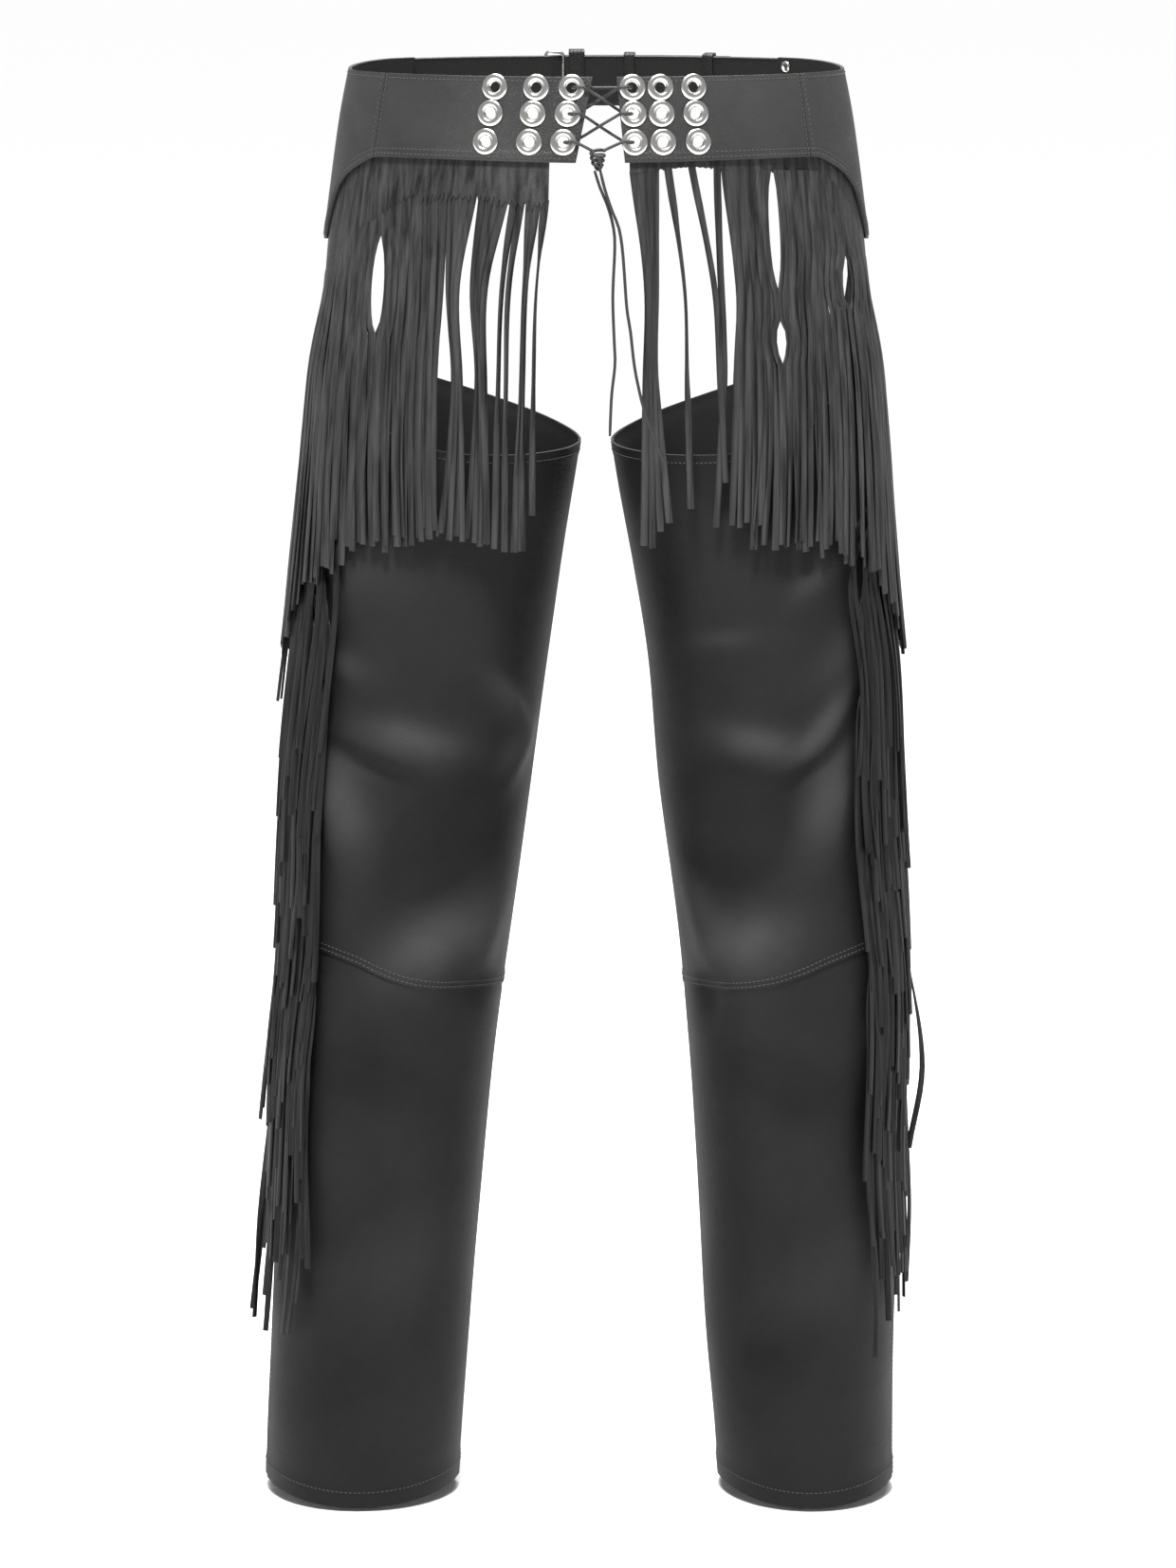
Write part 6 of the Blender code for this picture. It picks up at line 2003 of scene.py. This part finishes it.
@dataclass
class Belt:
    """Back belt: billet, buckle strap, wire buckle, keepers and rivet."""

    bench: Bench
    hips: HipForm
    start_angle: float = 124.0
    billet_end: float = 0.097
    left_bar: float = -0.0370
    right_bar: float = -0.0245
    wire: float = 0.0026
    overhang: float = 0.0023
    corner: float = 0.0034
    bar_gap: float = 0.0004
    prong_wire: float = 0.0020
    keeper_wall: float = 0.0016
    keeper_gap: float = 0.0008
    hole_pitch: float = 0.0225
    rivet_x: float = 0.1405
    rivet_z: float = 0.0275
    rivet_cap: float = 0.0042

    def back(self, x: Values, z: Values, lift: Values) -> np.ndarray:
        """Places at the back of the hips, x from the centre line."""
        angle = 180.0 - self.hips.angle_at(np.abs(x), z)
        points = self.hips.point(Side.RIGHT, angle, z + 0.0 * angle, lift + 0.0 * angle)
        points[..., 0] = points[..., 0] * np.where(np.asarray(x) < 0.0, -1.0, 1.0)
        return points

    def _frame(self, x: float) -> tuple[np.ndarray, np.ndarray, np.ndarray]:
        """Directions along the belt, outwards and up its slope."""
        normal = self.hips.normal(Side.RIGHT, 180.0 - self.hips.angle_at(abs(x), BELT_MIDDLE), BELT_MIDDLE)
        normal = normal * np.array((math.copysign(1.0, x), 1.0, 1.0))
        along = unit(np.array((normal[1], -normal[0], 0.0)))
        return along, normal, np.cross(along, normal)

    def _strap(self, x: np.ndarray, lift: np.ndarray) -> Cloth:
        """Outer face of a strap through stations along the belt."""
        up = edge_stations(8, (0.02, 0.05, 0.09, 0.13))[:, None]
        z = BELT_BOTTOM + (BELT_TOP - BELT_BOTTOM) * up
        reach = np.minimum(up, 1.0 - up)
        soft = -0.0005 * np.exp(-((reach / 0.035) ** 2))
        return Cloth(self.back(x[None, :] + 0.0 * z, z + 0.0 * x, lift[None, :] + STRAP_WALL + soft), True)

    def straps(self) -> None:
        """Make the billet and the buckle strap."""
        start = float(self.hips.width(0.014)) * math.sin(math.radians(self.start_angle))
        bar = self.wire / 2
        ramp = (self.left_bar + bar, self.right_bar - bar)
        x = np.concatenate((
            np.linspace(-start, ramp[0], 44)[:-1],
            np.linspace(ramp[0], ramp[1], 12)[:-1],
            np.linspace(ramp[1], self.billet_end, 50),
        ))
        billet = self._strap(x, STRAP_INSIDE + BILLET_LIFT * ease(ramp[0], ramp[1], x))
        middle = (ramp[0] + ramp[1]) / 2
        lift = STRAP_INSIDE + BILLET_LIFT + STRAP_WALL / 2
        holes = []
        for number in (1, 2, 3, 4):
            at = middle + number * self.hole_pitch
            holes.append((Vector(self.back(at, BELT_MIDDLE, lift)), Vector(self._frame(at)[1])))
        holes.append((Vector(self.back(middle, BELT_MIDDLE, lift)), Vector(self._frame(middle)[1])))
        cutter = self.bench.cylinders("billet_holes", holes, 0.0021)
        piece = self.bench.shell("belt_left_strap", billet, STRAP_WALL, self.bench.wardrobe.belt, 0.0007, (cutter,))
        self.bench.enter(piece, "belt_leather", "belt_billet")
        rows = [billet.line(edge, 0.0032) for edge in (Edge.TOP, Edge.BOTTOM)]
        rows.append(billet.line(Edge.END, 0.0032, 0.2, 0.8))
        rows.append(billet.line(Edge.START, 0.0032, 0.2, 0.8))
        rows.append(billet.line(Edge.START, 0.0110, 0.2, 0.8))
        sewing = self.bench.stitches("belt_left_stitches", rows)
        self.bench.enter(sewing, "belt_leather")
        billet.declare(piece, "stretched", [sewing])

        x = np.linspace(self.right_bar + bar + 0.0003, start, 60)
        strap = self._strap(x, STRAP_INSIDE + 0.0 * x)
        axis = self._rivet_axis()
        cutter = self.bench.cylinders("rivet_hole", [(Vector(self.back(self.rivet_x, self.rivet_z, 0.003)), axis)], 0.0021)
        piece = self.bench.shell("belt_right_strap", strap, STRAP_WALL, self.bench.wardrobe.belt, 0.0007, (cutter,))
        self.bench.enter(piece, "belt_leather", "belt_buckle_strap")
        rows = [strap.line(edge, 0.0032) for edge in (Edge.TOP, Edge.BOTTOM)]
        rows.append(strap.line(Edge.END, 0.0032, 0.2, 0.8))
        rows.append(strap.line(Edge.END, 0.0110, 0.2, 0.8))
        sewing = self.bench.stitches("belt_right_stitches", rows)
        self.bench.enter(sewing, "belt_leather")
        strap.declare(piece, "stretched", [sewing])

    def buckle(self) -> None:
        """Make the wire frame and its prong."""
        radius = self.wire / 2
        over = STRAP_INSIDE + STRAP_WALL + self.bar_gap + radius
        below = STRAP_INSIDE + BILLET_LIFT - self.bar_gap - radius
        top, bottom = BELT_TOP + self.overhang, BELT_BOTTOM - self.overhang
        outline = []
        corners = ((self.right_bar, top, 0), (self.left_bar, top, 90),
                   (self.left_bar, bottom, 180), (self.right_bar, bottom, 270))
        for x, z, start in corners:
            centre_x = x - self.corner if x == self.right_bar else x + self.corner
            centre_z = z - self.corner if z == top else z + self.corner
            for step in range(9):
                turn = math.radians(start + 90 * step / 8)
                outline.append((centre_x + self.corner * math.cos(turn), centre_z + self.corner * math.sin(turn)))
        points = []
        for x, z in outline:
            lift = over + (below - over) * (x - self.left_bar) / (self.right_bar - self.left_bar)
            points.append(self.back(x, BELT_MIDDLE, lift) + self._frame(x)[2] * (z - BELT_MIDDLE))
        frame = self.bench.tube("buckle_wire", points, self.wire, self.bench.wardrobe.nickel, closed=True)
        self.bench.enter(frame, "nickel", "buckle_frame")

        thin = self.prong_wire / 2
        resting = over + radius + thin + self.bar_gap
        route = [
            self.back(self.right_bar - radius - 0.0007, BELT_MIDDLE, below),
            self.back((self.left_bar + self.right_bar) / 2, BELT_MIDDLE, over + self.bar_gap),
            self.back(self.left_bar, BELT_MIDDLE, resting),
            self.back(self.left_bar - radius - thin, BELT_MIDDLE, resting),
        ]
        prong = self.bench.tube("buckle_tongue", smooth_path(route, 0.0008), self.prong_wire,
                                self.bench.wardrobe.nickel, ends=0.6)
        self.bench.enter(prong, "nickel", "buckle_prong")

    def keepers(self) -> None:
        """Make the three loops round both straps."""
        inside, outside = STRAP_INSIDE - self.keeper_gap, STRAP_INSIDE + BILLET_LIFT + STRAP_WALL + self.keeper_gap
        bottom, wall = BELT_BOTTOM - self.keeper_gap, self.keeper_wall
        for keeper in KEEPERS:
            along, normal, upward = self._frame(keeper.x)
            base = self.back(keeper.x, BELT_MIDDLE, 0.0)
            top = BELT_TOP + keeper.rise - wall
            outline = self._rounded(inside, outside, bottom, top, 0.0006)
            outer = self._rounded(inside - wall, outside + wall, bottom - wall, top + wall, 0.0020)
            points, faces = [], []
            for ring in (outline, outer):
                for sign in (-1, 1):
                    for lift, z in ring:
                        place = along * (sign * keeper.width / 2) + normal * lift + upward * (z - BELT_MIDDLE)
                        points.append(base + place)
            n = len(outline)
            for i in range(n):
                j = (i + 1) % n
                faces.append((i, j, n + j, n + i))
                faces.append((2 * n + j, 2 * n + i, 3 * n + i, 3 * n + j))
                faces.append((j, i, 2 * n + i, 2 * n + j))
                faces.append((n + i, n + j, 3 * n + j, 3 * n + i))
            piece = self.bench.mesh(keeper.name + "_loop", np.array(points), faces, (self.bench.wardrobe.belt,))
            make_outward(piece.data)
            bevel = piece.modifiers.new("soft_edge", "BEVEL")
            bevel.width = 0.0004
            bevel.segments = 2
            self.bench.settle(piece)
            self.bench.enter(piece, "belt_leather", keeper.name)

    def _rounded(self, low_x: float, high_x: float, low_z: float, high_z: float, radius: float) -> list:
        """Outline of a rectangle with rounded corners."""
        outline = []
        corners = ((high_x, high_z, 0), (low_x, high_z, 90), (low_x, low_z, 180), (high_x, low_z, 270))
        for x, z, start in corners:
            centre_x = x - radius if x == high_x else x + radius
            centre_z = z - radius if z == high_z else z + radius
            for step in range(5):
                turn = math.radians(start + 90 * step / 4)
                outline.append((centre_x + radius * math.cos(turn), centre_z + radius * math.sin(turn)))
        return outline

    def _rivet_axis(self) -> Vector:
        """Outward direction at the rivet."""
        angle = 180.0 - self.hips.angle_at(self.rivet_x, self.rivet_z)
        return Vector(self.hips.normal(Side.RIGHT, angle, self.rivet_z))

    def rivet(self) -> None:
        """Make the domed rivet through the strap and the yoke."""
        inside, outside = -YOKE_FACE - 0.0004, STRAP_INSIDE + STRAP_WALL + 0.0002
        cap, post = self.rivet_cap, 0.0016
        front = [(cap * math.sin(math.radians(a)) + 0.00001, outside + 0.0016 * math.cos(math.radians(a)))
                 for a in range(0, 91, 15)]
        rear = [(cap * math.sin(math.radians(a)) + 0.00001, inside - 0.0013 * math.cos(math.radians(a)))
                for a in range(90, -1, -15)]
        profile = front + [(post, outside), (post, inside)] + rear
        piece = self.bench.turned(
            "belt_rivet_caps", profile, self.back(self.rivet_x, self.rivet_z, 0.0), self._rivet_axis(),
            self.bench.wardrobe.nickel, closed=False,
        )
        self.bench.enter(piece, "nickel", "belt_rivet")

    def build(self) -> None:
        """Make the whole belt."""
        self.straps()
        self.buckle()
        self.keepers()
        self.rivet()


# Studio


@dataclass
class Studio:
    """Camera at the photograph's angle, pale floor and soft lights."""

    camera_place: tuple[float, float, float] = (0.0, -4.7, 0.278)
    aim: tuple[float, float, float] = (-0.006, 0.0, -0.4972)
    lens: float = 147.8
    sensor: float = 36.0
    floor_z: float = HEM_Z - 0.0025
    floor_size: float = 120.0
    world_strength: float = 0.30

    def camera(self) -> None:
        """Set the camera."""
        data = bpy.data.cameras.new("camera")
        data.lens = self.lens
        data.sensor_width = self.sensor
        data.sensor_fit = "AUTO"
        camera = bpy.data.objects.new("camera", data)
        camera.location = self.camera_place
        look = Vector(self.aim) - Vector(self.camera_place)
        camera.rotation_euler = look.to_track_quat("-Z", "Y").to_euler()
        bpy.context.scene.collection.objects.link(camera)
        bpy.context.scene.camera = camera

    def floor(self) -> None:
        """Lay the floor."""
        shape = bmesh.new()
        bmesh.ops.create_grid(shape, x_segments=8, y_segments=8, size=self.floor_size / 2)
        mesh = bpy.data.meshes.new("studio_floor")
        shape.to_mesh(mesh)
        shape.free()
        mesh.materials.append(Paper().make())
        floor = bpy.data.objects.new("studio_floor", mesh)
        floor.location.z = self.floor_z
        bpy.context.scene.collection.objects.link(floor)

    def lamp(self, name: str, place: Sequence[float], aim: Sequence[float], size: float, power: float) -> None:
        """Hang one soft square lamp."""
        data = bpy.data.lights.new(name, "AREA")
        data.shape = "SQUARE"
        data.size = size
        data.energy = power
        lamp = bpy.data.objects.new(name, data)
        lamp.location = place
        lamp.rotation_euler = (Vector(aim) - Vector(place)).to_track_quat("-Z", "Y").to_euler()
        bpy.context.scene.collection.objects.link(lamp)

    def light(self) -> None:
        """Set the lamps and the pale surroundings."""
        world = bpy.data.worlds.new("pale_room")
        bpy.context.scene.world = world
        world.use_nodes = True
        background = world.node_tree.nodes["Background"]
        background.inputs["Color"].default_value = (1.0, 1.0, 1.0, 1.0)
        background.inputs["Strength"].default_value = self.world_strength
        bpy.context.scene.view_settings.view_transform = "Standard"
        self.lamp("front_softbox", (-0.3, -1.9, 3.2), (0.0, 0.0, -0.5), 0.9, 260.0)
        self.lamp("rear_softbox", (0.4, 1.9, 3.2), (0.0, 0.0, -0.5), 0.9, 125.0)
        overhead = bpy.data.lights.new("overhead", "SUN")
        overhead.energy = 2.7
        overhead.angle = math.radians(50.0)
        bpy.context.scene.collection.objects.link(bpy.data.objects.new("overhead", overhead))

    def build(self) -> None:
        """Set up the whole studio."""
        self.camera()
        self.floor()
        self.light()


def main() -> None:
    """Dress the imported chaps, from the camera and the cords to the smallest ring."""
    logging.basicConfig(level=logging.INFO, format="%(name)s %(message)s")
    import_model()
    Studio().build()

    hips = HipForm()
    bench = Bench(Wardrobe())
    lace = Lace(bench, hips)
    lace.tails()
    lace.crossing()
    lace.knot()

    yoke = Yoke(bench, hips)
    grommets = Grommets(bench, hips)
    for side in Side:
        leg = LegForm(side, hips)
        yoke_pieces = yoke.build(side)
        panels = LegPanels(bench, hips, leg).build()
        hanging = YokeFringe(bench, hips, leg).build()
        side_fringe = SideFringe(bench, leg).build()
        grommets.build(side)
        yoke_pieces["hip"][2].append(hanging)
        panels[Panel.BACK][2].append(side_fringe)
        for piece, face, extras in yoke_pieces.values():
            face.declare(piece, "stretched", extras)
        for piece, face, extras in panels.values():
            face.declare(piece, "hung", extras)
    Belt(bench, hips).build()


if __name__ == "__main__":
    main()
